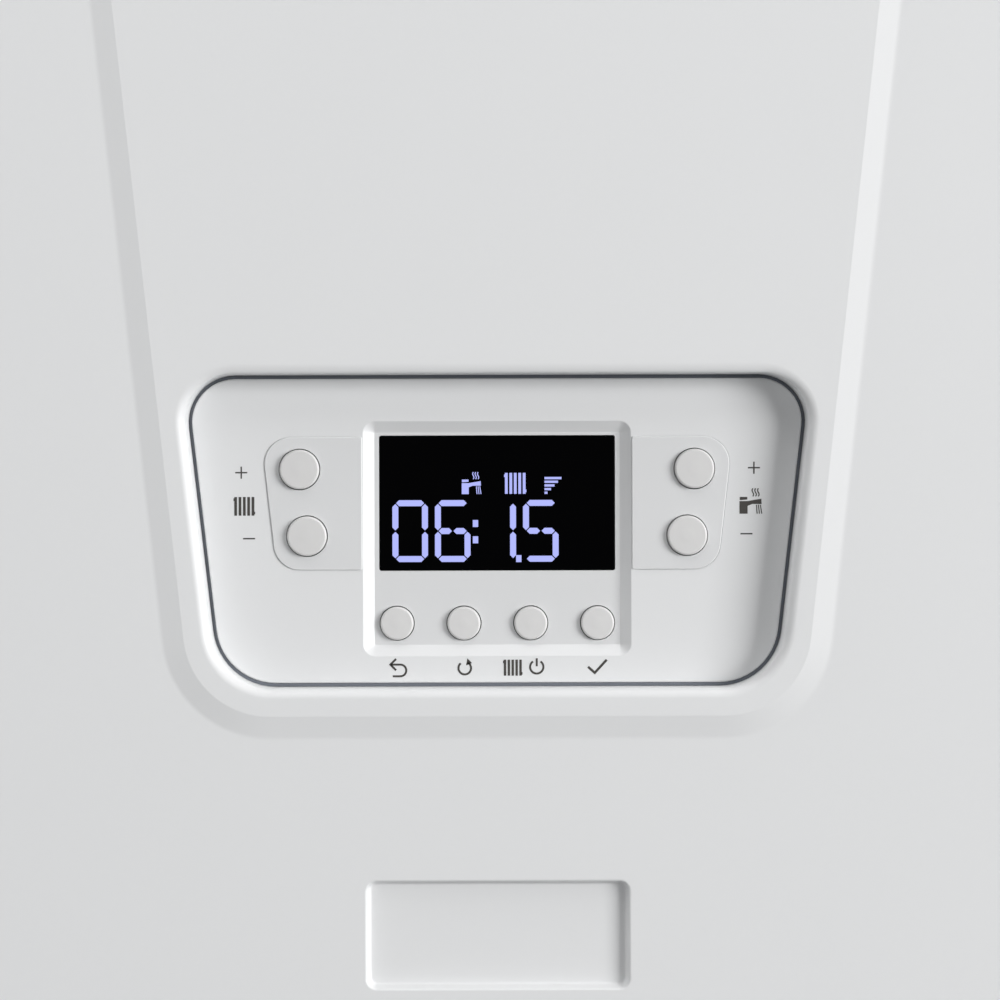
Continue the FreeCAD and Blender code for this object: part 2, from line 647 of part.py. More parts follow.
def make_control_panel():
    body = new_body()
    place(body, y=out(panel_rear))
    thickness = size.panel_thickness
    sketch = sketch_on(body, "XZ_Plane")
    draw_outline(sketch, *opening_outline(-size.panel_gap))
    plate = extrude(body, "Pad", sketch, thickness)
    face = float(thickness)
    round_edges(body, plate, size.panel_edge,
                lambda edge: all(abs(vertex.Point.y + face) < 1e-6 for vertex in edge.Vertexes))

    for side in (-1, 1):
        sketch = sketch_on(body, "XZ_Plane", thickness - size.pad_rise)
        top, bottom = panel_z + size.pad_top, panel_z - size.pad_bottom
        corners = [(size.recess_half * side, bottom), (size.pad_bottom_half * side, bottom),
                   (size.pad_top_half * side, top), (size.recess_half * side, top)]
        draw_outline(sketch, corners, [None, size.pad_corner, size.pad_corner, None])
        extrude(body, "Pad", sketch, size.pad_rise * 2)

    sketch = sketch_on(body, "XZ_Plane", thickness)
    recess = trapezoid(size.recess_half, size.recess_half, panel_z + size.recess_top,
                       panel_z - size.recess_bottom)
    draw_outline(sketch, recess, [size.recess_corner] * 4)
    extrude(body, "Pocket", sketch, size.recess_sink, taper=slope_angle(size.recess_slope, size.recess_sink))

    sketch = sketch_on(body, "XZ_Plane")
    draw_outline(sketch, *opening_outline(-size.panel_gap - size.panel_skirt))
    extrude(body, "Pocket", sketch, panel_inside - panel_rear, backward=True)

    sketch = sketch_on(body, "XZ_Plane", -size.cut_overrun)
    half = size.display_width / 2 + size.display_fit
    middle, rise = panel_z + size.display_rise, size.display_height / 2 + size.display_fit
    draw_outline(sketch, trapezoid(half, half, middle + rise, middle - rise))
    for _, x, z, radius, _ in button_places():
        draw_circle(sketch, x, panel_z + z, radius + size.button_gap)
    extrude(body, "Pocket", sketch, thickness + size.cut_overrun * 2, backward=True)

    sketch = sketch_on(body, "XZ_Plane", panel_inside - panel_rear)
    for across in (-1, 1):
        for rise in (-1, 1):
            draw_circle(sketch, size.boss_half * across, panel_z + size.boss_rise * rise, size.boss_radius)
    extrude(body, "Pad", sketch, size.module_thickness, backward=True)
    return node("control_panel", body)


def make_buttons():
    rear = panel_inside - size.button_rest_gap - size.button_flange_thickness
    for name, x, z, radius, surface in button_places():
        length = surface + size.button_stand - rear
        flange, edge = radius + size.button_flange, size.button_edge
        profile = [(as_size(0), as_size(0)), (flange, as_size(0)), (flange, size.button_flange_thickness),
                   (radius, size.button_flange_thickness), (radius, length - edge), (radius - edge, length),
                   (as_size(0), length)]
        node(name, turned(profile, x, out(rear), panel_z + z, TO_FRONT))


def make_button_switches():
    tip = (panel_inside - size.button_rest_gap - size.button_flange_thickness
           - size.button_travel - size.button_rest_gap)
    shoulder = tip - size.plunger_length
    half = size.switch_width / 2
    switches = []
    for _, x, z, _, _ in button_places():
        body = block((x - half, x + half), (out(shoulder), out(panel_board_front)),
                     (panel_z + z - half, panel_z + z + half))
        plunger = rod(size.plunger_radius, tip - panel_board_front, x, out(panel_board_front), panel_z + z,
                      TO_FRONT)
        switches.append(join(body, plunger))
    return node("button_switches", group(switches))


def make_display():
    middle = panel_z + size.display_rise
    half, rise = size.display_width / 2, size.display_height / 2
    glass = block((-half, half), (out(recess_floor), out(panel_inside)), (middle - rise, middle + rise))
    node("display_glass", glass)
    half, rise = half + size.module_margin, rise + size.module_margin
    side_room = size.row_button_drop - size.row_button_radius - size.button_flange
    bottom = middle - rise
    module = block((-half, half), (out(panel_inside), out(panel_board_front)), (bottom, middle + rise))
    assert float(panel_z) - float(side_room) < float(bottom), "the display module meets the button row"
    half, rise = size.panel_board_half, size.panel_board_rise
    board = block((-half, half), (out(panel_board_front), out(panel_board_front - size.board_thickness)),
                  (panel_z - rise, panel_z + rise))
    return node("display_board", join(board, module))


def make_main_board():
    thick = size.board_thickness
    half, rise, front = size.main_board_half, size.main_board_rise, size.main_board_depth
    pieces = [block((-half, half), (out(front), out(front - thick)), (panel_z - rise, panel_z + rise))]
    face, inset = out(front), size.pillar_inset
    low = panel_z - rise + inset * 2
    left = inset * 2 - half
    pieces.append(block((left, left + size.transformer_width), (face - size.transformer_thickness, face),
                        (low, low + size.transformer_height)))
    for step in range(4):
        start = left + size.transformer_width + inset + size.relay_pitch * step
        pieces.append(block((start, start + size.relay_width), (face - size.relay_thickness, face),
                            (low, low + size.relay_height)))
    return node("main_board", join(*pieces))


def make_control_box():
    half, wall = size.box_half, size.box_wall
    low, high = up(size.box_bottom_height), up(size.box_top_height)
    front, rear = out(panel_rear), out(size.box_rear)
    outer = block((-half, half), (front, rear), (low, high))
    hollow = block((wall - half, half - wall), (front + wall, rear + size.cut_overrun),
                   (low + wall, high - wall))
    window = new_body()
    place(window, y=out(panel_rear - wall - size.cut_overrun))
    sketch = sketch_on(window, "XZ_Plane")
    draw_outline(sketch, *opening_outline(-size.panel_gap - size.panel_skirt))
    extrude(window, "Pad", sketch, wall + size.cut_overrun * 2)
    pivot = rod(size.pin_radius + size.pin_play, half * 2 + size.cut_overrun * 2, -half - size.cut_overrun,
                out(size.hinge_depth), up(size.hinge_height), TO_RIGHT)
    bushes = [rod(size.gland_radius, size.gland_length, x, out(size.gland_depth), high)
              for x in gland_places()]
    ways = [rod(size.gland_bore, wall + size.gland_length + size.cut_overrun * 2, x, out(size.gland_depth),
                high - wall - size.cut_overrun) for x in gland_places()]
    return node("control_box", cut(join(outer, *bushes), hollow, window, pivot, *ways))


def gland_places():
    return [size.gland_x + size.gland_pitch * step for step in (-1, 0, 1)]


def make_box_cover():
    half, rear = size.box_half, out(size.box_rear)
    low, high = up(size.box_bottom_height), up(size.box_top_height)
    pieces = [block((-half, half), (rear, rear + size.cover_thickness), (low, high))]
    length = size.main_board_depth - size.board_thickness - size.box_rear
    for across in (-1, 1):
        for rise in (-1, 1):
            x = (size.main_board_half - size.pillar_inset) * across
            z = panel_z + (size.main_board_rise - size.pillar_inset) * rise
            pieces.append(rod(size.pillar_radius, length, x, rear, z, TO_FRONT))
    return node("control_box_cover", join(*pieces))


def make_hinge():
    inner = size.box_half + size.hinge_plate_gap
    outer = inner + size.hinge_plate
    y, z = out(size.hinge_depth), up(size.hinge_height)
    depths = (y - size.hinge_plate_half, y + size.hinge_plate_half)
    length = outer - size.box_half + size.pin_reach
    brackets = []
    for sides, start in (((-outer, -inner), -outer), ((inner, outer), outer - length)):
        plate = block(sides, depths, (up(bottom_plate_top), z + size.hinge_plate_top))
        brackets.append(join(plate, rod(size.pin_radius, length, start, y, z, TO_RIGHT)))
    return node("hinge_brackets", group(brackets))


# Heat exchanger and burner

def make_exchanger():
    z = up(size.drum_height)
    length, wall, radius = size.drum_front - size.drum_rear, size.drum_wall, size.drum_radius
    drum = rod(radius, length, as_size(0), out(size.drum_rear), z, TO_FRONT)
    flange = rod(size.drum_flange_radius, size.drum_flange, as_size(0), out(size.drum_front), z, TO_WALL)
    half, rise = size.drum_plate_half, size.drum_plate_rise
    rear = out(size.drum_rear)
    plate = block((-half, half), (rear, rear + size.drum_plate_sheet), (z - rise, z + rise))
    port_z, port_y = z - size.drum_port_drop, out(size.drum_port_depth)
    reach = size.drum_port_x
    ports = [rod(size.drum_port_radius, reach, as_size(0), port_y, port_z, turn)
             for turn in (TO_LEFT, TO_RIGHT)]
    drain = rod(size.drum_drain_radius, radius + size.drum_drain_length, as_size(0),
                out(size.drum_drain_depth), z, DOWN)
    flue = rod(size.flue_bore + size.flue_wall, radius + size.flue_neck, as_size(0), out(size.flue_depth), z)
    hollow = rod(radius - wall, length + size.cut_overrun, as_size(0), rear - wall, z, TO_FRONT)
    bores = [rod(size.pipe_bore, reach * 2 + size.cut_overrun * 2, -reach - size.cut_overrun, port_y, port_z,
                 TO_RIGHT),
             rod(size.drain_pipe_bore, radius * 2, as_size(0), out(size.drum_drain_depth), z, DOWN),
             rod(size.flue_throat, radius * 2, as_size(0), out(size.flue_depth), z)]
    feet = [rod(size.standoff_radius, size.drum_rear - size.back_plate_depth, size.standoff_x * side, rear, z,
                TO_WALL) for side in (-1, 1)]
    return node("exchanger_shell", cut(join(drum, flange, plate, *ports, drain, flue, *feet), hollow, *bores))


def make_exchanger_core():
    body = new_body()
    rear = size.drum_rear + size.drum_wall
    place(body, y=out(rear), z=up(size.drum_height))
    length = size.core_front - rear
    sketch = sketch_on(body, "XZ_Plane")
    for radius in (size.core_radius, size.core_bore):
        draw_circle(sketch, as_size(0), as_size(0), radius)
    extrude(body, "Pad", sketch, length)
    sketch = sketch_on(body, "XZ_Plane")
    half = size.fin_thickness / 2
    outer = (size.core_bore + size.core_radius) / 2
    draw_outline(sketch, [(size.fin_tip_radius, -half), (outer, -half), (outer, half),
                          (size.fin_tip_radius, half)])
    fin = extrude(body, "Pad", sketch, length)
    pattern = repeat_round(body, fin, "Y_Axis", size.fin_count)
    body.Tip = pattern
    return node("exchanger_core", body)


def repeat_round(body, feature, axis_role, count):
    """Repeats a feature round one of its body's axes."""
    doc.recompute()
    pattern = body.newObject("PartDesign::PolarPattern", "pattern")
    pattern.Originals = [feature]
    axis = next(thing for thing in body.Origin.OriginFeatures if thing.Role == axis_role)
    pattern.Axis = (axis, [""])
    pattern.Angle = 360
    body.Tip = pattern
    bind(pattern, Occurrences=count)
    return pattern


def make_burner():
    z, front = up(size.drum_height), size.drum_front
    door_front = front + size.door_thickness
    profile = [(size.duct_bore, as_size(0)), (size.drum_flange_radius, as_size(0)),
               (size.drum_flange_radius, size.door_thickness), (size.duct_bore, size.door_thickness)]
    door = turned(profile, as_size(0), out(front), z, TO_FRONT)
    ways = [rod(size.electrode_hole, size.door_thickness + size.cut_overrun * 2, size.electrode_x * side,
                out(front - size.cut_overrun), z, TO_FRONT) for side in (-1, 1)]
    studs = around(int(SIZES["stud_count"]), size.drum_flange_radius - size.stud_margin)
    stud_ways = [rod(size.stud_radius + size.nut_play, size.door_thickness + size.cut_overrun * 2, x,
                     out(front - size.cut_overrun), z + rise, TO_FRONT) for x, rise in studs]
    node("burner_door", cut(door, *ways, *stud_ways))
    bolts = []
    for x, rise in studs:
        shank = rod(size.stud_radius, size.door_thickness + size.stud_length, x, out(front), z + rise,
                    TO_FRONT)
        nut = hexagon(size.nut_radius, size.nut_thickness, x, out(door_front), z + rise, TO_FRONT)
        bolts.append(join(shank, nut))
    node("door_nuts", group(bolts))
    length = front - size.burner_rear
    radius, wall = size.burner_radius, size.burner_wall
    node("burner_tube", turned([
        (radius - wall, as_size(0)), (size.burner_flange_radius, as_size(0)),
        (size.burner_flange_radius, size.burner_flange), (radius, size.burner_flange), (radius, length),
        (as_size(0), length), (as_size(0), length - wall), (radius - wall, length - wall)],
        as_size(0), out(front), z, TO_WALL))
    reach = door_front - size.electrode_rear
    electrode = [(as_size(0), -size.electrode_length), (size.electrode_radius, -size.electrode_length),
                 (size.electrode_radius, as_size(0)), (size.electrode_wire, as_size(0)),
                 (size.electrode_wire, reach), (as_size(0), reach)]
    node("electrodes", group(
        turned(electrode, size.electrode_x * side, out(door_front), z, TO_WALL) for side in (-1, 1)))


# Fan, premix duct, mixer, air silencer, gas

def make_premix_duct():
    z, y = up(size.drum_height), out(size.duct_depth)
    door_front = size.drum_front + size.door_thickness
    route = [(0, y, up(size.fan_outlet_height)), (0, y, z), (0, out(door_front), z)]
    run = pipe(route, size.duct_radius, size.duct_bore, size.duct_bend)
    flange = turned(tube_profile(size.duct_flange_radius, size.duct_bore, as_size(0), size.duct_flange),
                    as_size(0), out(door_front), z, TO_FRONT)
    return node("premix_duct", join(run, flange))


def make_fan():
    y, z = out(size.fan_depth), up(size.fan_height)
    half, wall, radius = size.fan_half, size.fan_wall, size.fan_radius
    outlet = size.fan_outlet_half
    duct_y, top = out(size.duct_depth), up(size.fan_outlet_height)
    outer = join(rod(radius, half * 2, -half, y, z, TO_RIGHT),
                 block((-outlet, outlet), (duct_y - outlet, duct_y + outlet), (z, top)))
    hollow = rod(radius - wall, (half - wall) * 2, wall - half, y, z, TO_RIGHT)
    channel = block((wall - outlet, outlet - wall), (duct_y - outlet + wall, duct_y + outlet - wall),
                    (z + wall, top + size.cut_overrun))
    inlet = rod(size.fan_inlet_radius, half + size.cut_overrun, as_size(0), y, z, TO_RIGHT)
    shaft_way = rod(size.fan_shaft_radius + size.fan_shaft_gap, half + size.cut_overrun, as_size(0), y, z,
                    TO_LEFT)
    node("fan_housing", cut(outer, hollow, channel, inlet, shaft_way))

    bore = size.fan_shaft_radius + size.fan_bearing_play
    length, cap = size.fan_motor_length, size.fan_motor_cap
    depth = size.wheel_half + size.fan_shaft_length - half + size.spindle_margin
    node("fan_motor", turned([
        (bore, as_size(0)), (size.fan_motor_radius, as_size(0)), (size.fan_motor_radius, length - cap),
        (size.fan_motor_cap_radius, length), (as_size(0), length), (as_size(0), depth), (bore, depth)],
        -half, y, z, TO_LEFT))

    wheel = new_body()
    place(wheel, y=y, z=z)
    disc, reach, hub = size.wheel_disc, size.wheel_half, size.wheel_hub_radius
    shaft = size.fan_shaft_radius
    sketch = sketch_on(wheel, "XY_Plane")
    draw_outline(sketch, [
        (-reach - size.fan_shaft_length, as_size(0)), (reach - disc, as_size(0)), (reach - disc, hub / 2),
        (disc - reach, hub), (disc - reach, size.wheel_radius), (-reach, size.wheel_radius), (-reach, shaft),
        (-reach - size.fan_shaft_length, shaft)])
    spin(wheel, sketch)
    sketch = sketch_on(wheel, "XY_Plane")
    draw_outline(sketch, [(reach - disc, size.wheel_eye), (reach, size.wheel_eye), (reach, size.wheel_radius),
                          (reach - disc, size.wheel_radius)])
    blade_and_ring(wheel, sketch, reach, disc, size.wheel_eye, size.wheel_radius, size.blade_count)
    node("fan_impeller", wheel)


def spin(body, sketch):
    """Turns a sketch about the X axis of its body."""
    revolution = body.newObject("PartDesign::Revolution", "revolution")
    revolution.Profile = sketch
    revolution.ReferenceAxis = (sketch, ["H_Axis"])
    revolution.Angle = 360
    return revolution


def blade_and_ring(body, ring_sketch, reach, disc, inner, outer, count):
    """Blades on a wheel's disc, repeated round the X axis, and the ring that ties their far ends."""
    sketch = sketch_on(body, "YZ_Plane", -reach)
    half = size.blade_thickness / 2
    start, end = inner + size.blade_thickness, outer - size.blade_thickness
    draw_outline(sketch, [(start, -half), (end, -half), (end, half), (start, half)])
    blade = extrude(body, "Pad", sketch, reach * 2 - disc / 2)
    repeat_round(body, blade, "X_Axis", count)
    body.Tip = spin(body, ring_sketch)


def make_gas_mixer():
    y, z, half = out(size.fan_depth), up(size.fan_height), size.fan_half
    length, flange = size.mixer_length, size.mixer_flange
    venturi = turned([
        (size.mixer_bore, as_size(0)), (size.mixer_flange_radius, as_size(0)),
        (size.mixer_flange_radius, flange), (size.mixer_radius, flange), (size.mixer_radius, length),
        (size.mixer_bore, length),
        (size.mixer_throat, length / 2)], half, y, z, TO_RIGHT)
    port = rod(size.mixer_port_radius, size.valve_port_length, size.mixer_port_x, y, up(valve_top))
    throat = turned([
        (as_size(0), as_size(0)), (size.mixer_bore, as_size(0)), (size.mixer_throat, length / 2),
        (size.mixer_bore, length), (as_size(0), length)], half, y, z, TO_RIGHT)
    return node("gas_mixer", cut(join(venturi, port), throat))


def make_air_silencer():
    y, z = out(size.fan_depth), up(size.fan_height)
    start = size.fan_half + size.mixer_length
    route = [(start, y, z), (size.silencer_x, y, z), (size.silencer_x, y, up(size.silencer_height))]
    return node("air_silencer", pipe(route, size.silencer_radius, size.silencer_bore, size.silencer_bend))


def make_gas_line():
    x, half = size.mixer_port_x, size.valve_half
    low, high = up(valve_top - size.valve_length), up(valve_top)
    front, rear = out(size.valve_front), out(size.valve_rear)
    pieces = [block((x - half, x + half), (front, rear), (low, high))]
    middle = (low + high) / 2
    for side in (-1, 1):
        pieces.append(rod(size.coil_radius, size.coil_length, x, front, middle + size.coil_rise * side,
                          TO_FRONT))
    node("gas_valve", join(*pieces))
    level, tail_y, y = up(size.gas_level_height), out(size.tail_depth), out(size.gas_pipe_depth)
    route = [(x, y, low), (x, y, level), (0, tail_y, level), (0, tail_y, up(size.group_bottom_height))]
    node("gas_pipe", pipe(route, size.gas_pipe_radius, size.gas_pipe_bore, size.gas_bend))


# Flue

def make_flue():
    y = out(size.flue_depth)
    bottom = size.drum_height + size.drum_radius + size.flue_neck
    length = size.flue_top_height - bottom
    bore, throat = size.flue_bore, size.flue_throat
    radius = bore + size.flue_wall
    shoulder = length - size.flue_socket_length
    node("flue_outlet", turned([
        (throat, as_size(0)), (radius, as_size(0)), (radius, length), (bore, length), (bore, shoulder),
        (throat, shoulder)], as_size(0), y, up(bottom)))
    base, collar, wall = up(top_plate_top), size.collar_radius, size.collar_wall
    rise = size.flue_top_height - top_plate_top
    node("flue_collar", turned([
        (collar - wall, as_size(0)), (size.collar_flange_radius, as_size(0)),
        (size.collar_flange_radius, size.collar_flange), (collar, size.collar_flange), (collar, rise),
        (collar - wall, rise)], as_size(0), y, base))
    screws = around(int(SIZES["collar_screw_count"]), size.collar_screw_circle)
    node("collar_screws", group(
        rod(size.collar_screw_radius, size.collar_screw_head, x, y + reach, base + size.collar_flange)
        for x, reach in screws))


# Water side

def vessel_form(inset):
    """The vessel's turned form, drawn in all round by an inset."""
    depth = size.vessel_front - size.back_plate_depth - inset * 2
    flat, shoulder, radius = size.vessel_flat, size.vessel_shoulder - inset, size.vessel_radius - inset
    bulge = (depth - size.vessel_rim) / 2
    return turned([
        (as_size(0), as_size(0)), (flat, as_size(0)), (shoulder, bulge / 2), (radius, bulge),
        (radius, depth - bulge), (shoulder, depth - bulge / 2), (flat, depth), (as_size(0), depth)],
        as_size(0), out(size.back_plate_depth) - inset, up(size.vessel_height), TO_FRONT)


def make_expansion_vessel():
    x, y = size.vessel_port_x, out((size.vessel_front + size.back_plate_depth) / 2)
    bottom, length = vessel_port_z(), size.vessel_radius - size.vessel_port_x
    outside = join(vessel_form(as_size(0)), rod(size.vessel_port_radius, length, x, y, bottom))
    bore = rod(size.vessel_port_bore, length + size.cut_overrun, x, y, bottom - size.cut_overrun)
    return node("expansion_vessel", cut(outside, vessel_form(size.vessel_wall), bore))


def vessel_port_z():
    """The lower end of the vessel's port, hung below the rim at the port's place."""
    return up(size.vessel_height - size.vessel_radius) - size.vessel_port_length / 4


def make_water_pipes():
    y, port_z = out(size.drum_port_depth), up(size.drum_height - size.drum_port_drop)
    reach = size.drum_port_x
    flow = [(-reach, y, port_z), (-size.flow_pipe_x, y, port_z),
            (-size.flow_pipe_x, y, up(size.flow_group_top_height))]
    node("flow_pipe", pipe(flow, size.pipe_radius, size.pipe_bore, size.pipe_bend))
    back = [(reach, y, port_z), (size.pump_x, y, port_z), (size.pump_x, y, up(size.pump_port_height))]
    node("return_pipe", pipe(back, size.pipe_radius, size.pipe_bore, size.pipe_bend))
    x, level = size.vessel_port_x, up(size.vessel_level_height)
    vessel_y = out((size.vessel_front + size.back_plate_depth) / 2)
    group_y = out(size.vessel_pipe_depth)
    route = [(x, vessel_y, vessel_port_z()), (x, vessel_y, level), (x, group_y, level),
             (x, group_y, up(size.return_group_top_height))]
    node("vessel_pipe", pipe(route, size.vessel_pipe_radius, size.vessel_pipe_bore, size.vessel_bend))
    trap_y, drain_y = out(size.trap_depth), out(size.drum_drain_depth)
    level = up(size.drain_level_height)
    start = up(size.drum_height - size.drum_radius - size.drum_drain_length)
    route = [(0, drain_y, start), (0, drain_y, level), (trap_x, trap_y, level),
             (trap_x, trap_y, up(size.trap_top_height))]
    node("condensate_pipe", pipe(route, size.drain_pipe_radius, size.drain_pipe_bore, size.drain_bend))


def make_connection_tails():
    rest = size.tail_drop + bottom_plate_top
    pieces = []
    for x, radius, top_height in tails():
        length = top_height + size.tail_drop
        bore, collar = radius - size.tail_wall, radius + size.tail_collar
        pieces.append(turned([
            (bore, as_size(0)), (radius, as_size(0)), (radius, rest), (collar, rest),
            (collar, rest + size.tail_collar_length), (radius, rest + size.tail_collar_length),
            (radius, length), (bore, length)], x, out(size.tail_depth), up(-size.tail_drop)))
    return node("connection_tails", group(pieces))


def make_groups():
    low, front, rear = up(size.group_bottom_height), out(size.group_front), out(size.group_rear)
    inner, outer = size.group_inner, size.group_outer
    y = out(size.tail_depth)
    high = up(size.flow_group_top_height)
    flow = block((-outer, -inner), (front, rear), (low, high))
    depth = size.flow_group_top_height - size.spindle_bottom_height + size.spindle_margin
    spindle_way = rod(size.spindle_radius + size.spindle_play, depth + size.cut_overrun, size.diverter_x,
                      out(size.diverter_depth), high - depth)
    ways = [rod(radius - size.tail_wall, (high - low) / 2 + size.cut_overrun, x, y, low - size.cut_overrun)
            for x, radius, _ in tails()]
    node("flow_group", cut(flow, spindle_way, *ways[:2]))
    high = up(size.return_group_top_height)
    back = block((inner, outer), (front, rear), (low, high))
    stem_way = rod(size.filling_stem_radius + size.spindle_play, size.filling_stem_reach + size.spindle_margin
                   + size.cut_overrun, size.filling_x, out(size.filling_depth), low - size.cut_overrun)
    safety_way = rod(size.safety_stem_radius, size.safety_radius, size.safety_x, front,
                     up(size.safety_height), TO_WALL)
    node("return_group", cut(back, stem_way, safety_way, *ways[3:]))


def make_plate_exchanger():
    half = size.plates_half
    low, high = up(size.plates_bottom_height), up(size.plates_top_height)
    front, rear = out(size.group_rear), out(size.plates_rear)
    stack = block((-half, half), (front, rear), (low, high))
    pitch = (size.group_rear - size.plates_rear - size.plates_end * 2) / size.plates_count
    groove = size.plates_groove
    grooves = []
    for step in range(int(SIZES["plates_count"]) + 1):
        y = front + size.plates_end + pitch * step
        depths = (y - groove / 2, y + groove / 2)
        for bottom, top in ((low - size.cut_overrun, low + groove), (high - groove, high + size.cut_overrun)):
            grooves.append(block((-half - size.cut_overrun, half + size.cut_overrun), depths, (bottom, top)))
    return node("plate_exchanger", cut(stack, *grooves))


def make_pump():
    x, z = size.pump_x, up(size.pump_height)
    front, rear = out(size.pump_front), out(size.pump_rear)
    length, wall, radius = size.pump_front - size.pump_rear, size.pump_wall, size.pump_radius
    y = out(size.drum_port_depth)
    neck = size.pump_neck_half
    base = up(size.return_group_top_height)
    body = join(rod(radius, length, x, rear, z, TO_FRONT),
                block((x - neck, x + neck), (front, rear), (base, z)),
                rod(size.pump_port_radius, size.pump_port_height - size.pump_height, x, y, z),
                rod(size.vent_radius, size.vent_top_height - size.vent_bottom_height, size.vent_x, y,
                    up(size.vent_bottom_height)))
    hollow = rod(radius - wall, length - wall + size.cut_overrun, x, rear - wall, z, TO_FRONT)
    way = rod(size.pipe_bore, size.pump_port_height - size.pump_height + size.cut_overrun, x, y, z)
    node("pump_body", cut(body, hollow, way))
    bore = size.pump_shaft_radius + size.fan_bearing_play
    motor, cap = size.pump_motor_front - size.pump_front, size.pump_motor_cap
    depth = size.pump_shaft_length
    node("pump_motor", turned([
        (bore, as_size(0)), (radius, as_size(0)), (radius, wall), (size.pump_motor_radius, wall),
        (size.pump_motor_radius, motor - cap), (size.pump_motor_cap_radius, motor), (as_size(0), motor),
        (as_size(0), depth), (bore, depth)], x, front, z, TO_FRONT))
    wheel = new_body()
    reach, disc, shaft = size.pump_wheel_half, size.pump_wheel_disc, size.pump_shaft_radius
    place(wheel, x, (front + rear - wall) / 2, z, FreeCAD.Rotation(FreeCAD.Vector(0, 0, 1), 90))
    sketch = sketch_on(wheel, "XY_Plane")
    shaft_end = -(length - wall) / 2 - depth + size.spindle_margin
    draw_outline(sketch, [
        (shaft_end, as_size(0)), (reach - disc, as_size(0)), (reach - disc, shaft), (disc - reach, shaft * 2),
        (disc - reach, size.pump_wheel_radius), (-reach, size.pump_wheel_radius), (-reach, shaft),
        (shaft_end, shaft)])
    spin(wheel, sketch)
    sketch = sketch_on(wheel, "XY_Plane")
    draw_outline(sketch, [(reach - disc, size.pump_eye), (reach, size.pump_eye),
                          (reach, size.pump_wheel_radius), (reach - disc, size.pump_wheel_radius)])
    blade_and_ring(wheel, sketch, reach, disc, size.pump_eye, size.pump_wheel_radius, size.pump_blade_count)
    node("pump_impeller", wheel)


def make_diverter():
    x, y, half, leg = size.diverter_x, out(size.diverter_depth), size.diverter_half, size.diverter_leg
    low, high = up(size.diverter_bottom_height), up(size.diverter_top_height)
    base = up(size.flow_group_top_height)
    pieces = [block((x - half, x + half), (y - half, y + half), (low, high))]
    for start, end in ((x - half, x - half + leg), (x + half - leg, x + half)):
        pieces.append(block((start, end), (y - half / 2, y + half / 2), (base, low)))
    depth = size.spindle_top_height + size.spindle_travel + size.spindle_margin - size.diverter_bottom_height
    way = rod(size.spindle_radius + size.spindle_play, depth + size.cut_overrun, x, y, low - size.cut_overrun)
    node("diverter_motor", cut(join(*pieces), way))
    length = size.spindle_top_height - size.spindle_bottom_height
    node("diverter_spindle", rod(size.spindle_radius, length, x, y, up(size.spindle_bottom_height)))


def fluted_knob(radius, length, x, y, z, turn):
    """A knob with round flutes cut along its rim."""
    flute, count = size.knob_flute, int(SIZES["knob_flute_count"])
    flutes = []
    for across, along in around(count, radius):
        shift = (across, as_size(0), along) if turn in (TO_FRONT, TO_WALL) else (across, along, as_size(0))
        flutes.append(rod(flute, length, x + shift[0], y + shift[1], z + shift[2], turn))
    return cut(rod(radius, length, x, y, z, turn), *flutes)


def make_valves():
    x, z, front = size.safety_x, up(size.safety_height), out(size.group_front)
    bore, length = size.safety_stem_radius + size.spindle_play, size.safety_length
    node("safety_valve", turned([
        (bore, as_size(0)), (size.safety_radius, as_size(0)), (size.safety_radius, length), (bore, length)],
        x, front, z, TO_FRONT))
    face = front - length - size.knob_gap
    knob = fluted_knob(size.safety_knob_radius, size.safety_knob_length, x, face, z, TO_FRONT)
    stem = rod(size.safety_stem_radius, size.safety_stem_length + size.knob_gap, x, face, z, TO_WALL)
    node("safety_knob", join(knob, stem))
    x, y = size.filling_x, out(size.filling_depth)
    top = up(-size.filling_drop)
    knob = fluted_knob(size.filling_knob_radius, size.filling_knob_length, x, y, top, DOWN)
    reach = size.filling_drop + size.group_bottom_height + size.filling_stem_reach
    node("filling_knob", join(knob, rod(size.filling_stem_radius, reach, x, y, top)))


def make_pressure_sensor():
    x, z, front = size.sensor_x, up(size.sensor_height), out(size.group_front)
    return node("pressure_sensor", join(
        hexagon(size.sensor_hex, size.sensor_hex_length, x, front, z, TO_FRONT),
        rod(size.sensor_radius, size.sensor_length, x, front, z, TO_FRONT)))


def make_condensate_trap():
    low, high = size.trap_bottom_height, size.trap_top_height
    base = low + size.tail_drop
    top = high + size.tail_drop
    rest = size.tail_drop + bottom_plate_top
    outlet, bore, neck = size.trap_outlet_radius, size.trap_outlet_bore, size.trap_neck
    return node("condensate_trap", turned([
        (bore, as_size(0)), (outlet, as_size(0)), (outlet, rest), (size.trap_collar_radius, rest),
        (size.trap_collar_radius, rest + size.tail_collar_length), (outlet, rest + size.tail_collar_length),
        (outlet, base), (size.trap_radius, base), (size.trap_radius, top - neck), (outlet, top),
        (bore, top)], trap_x, out(size.trap_depth), up(-size.tail_drop)))


make_outer_case()
make_case_screws()
make_wall_bracket()
make_back_plate()
make_wall_spacers()
make_top_plate()
make_bottom_plate()
make_case_seals()
make_control_panel()
make_buttons()
make_button_switches()
make_display()
make_main_board()
make_control_box()
make_box_cover()
make_hinge()
make_exchanger()
make_exchanger_core()
make_burner()
make_premix_duct()
make_fan()
make_gas_mixer()
make_air_silencer()
make_gas_line()
make_flue()
make_expansion_vessel()
make_water_pipes()
make_connection_tails()
make_groups()
make_plate_exchanger()
make_pump()
make_diverter()
make_valves()
make_pressure_sensor()
make_condensate_trap()

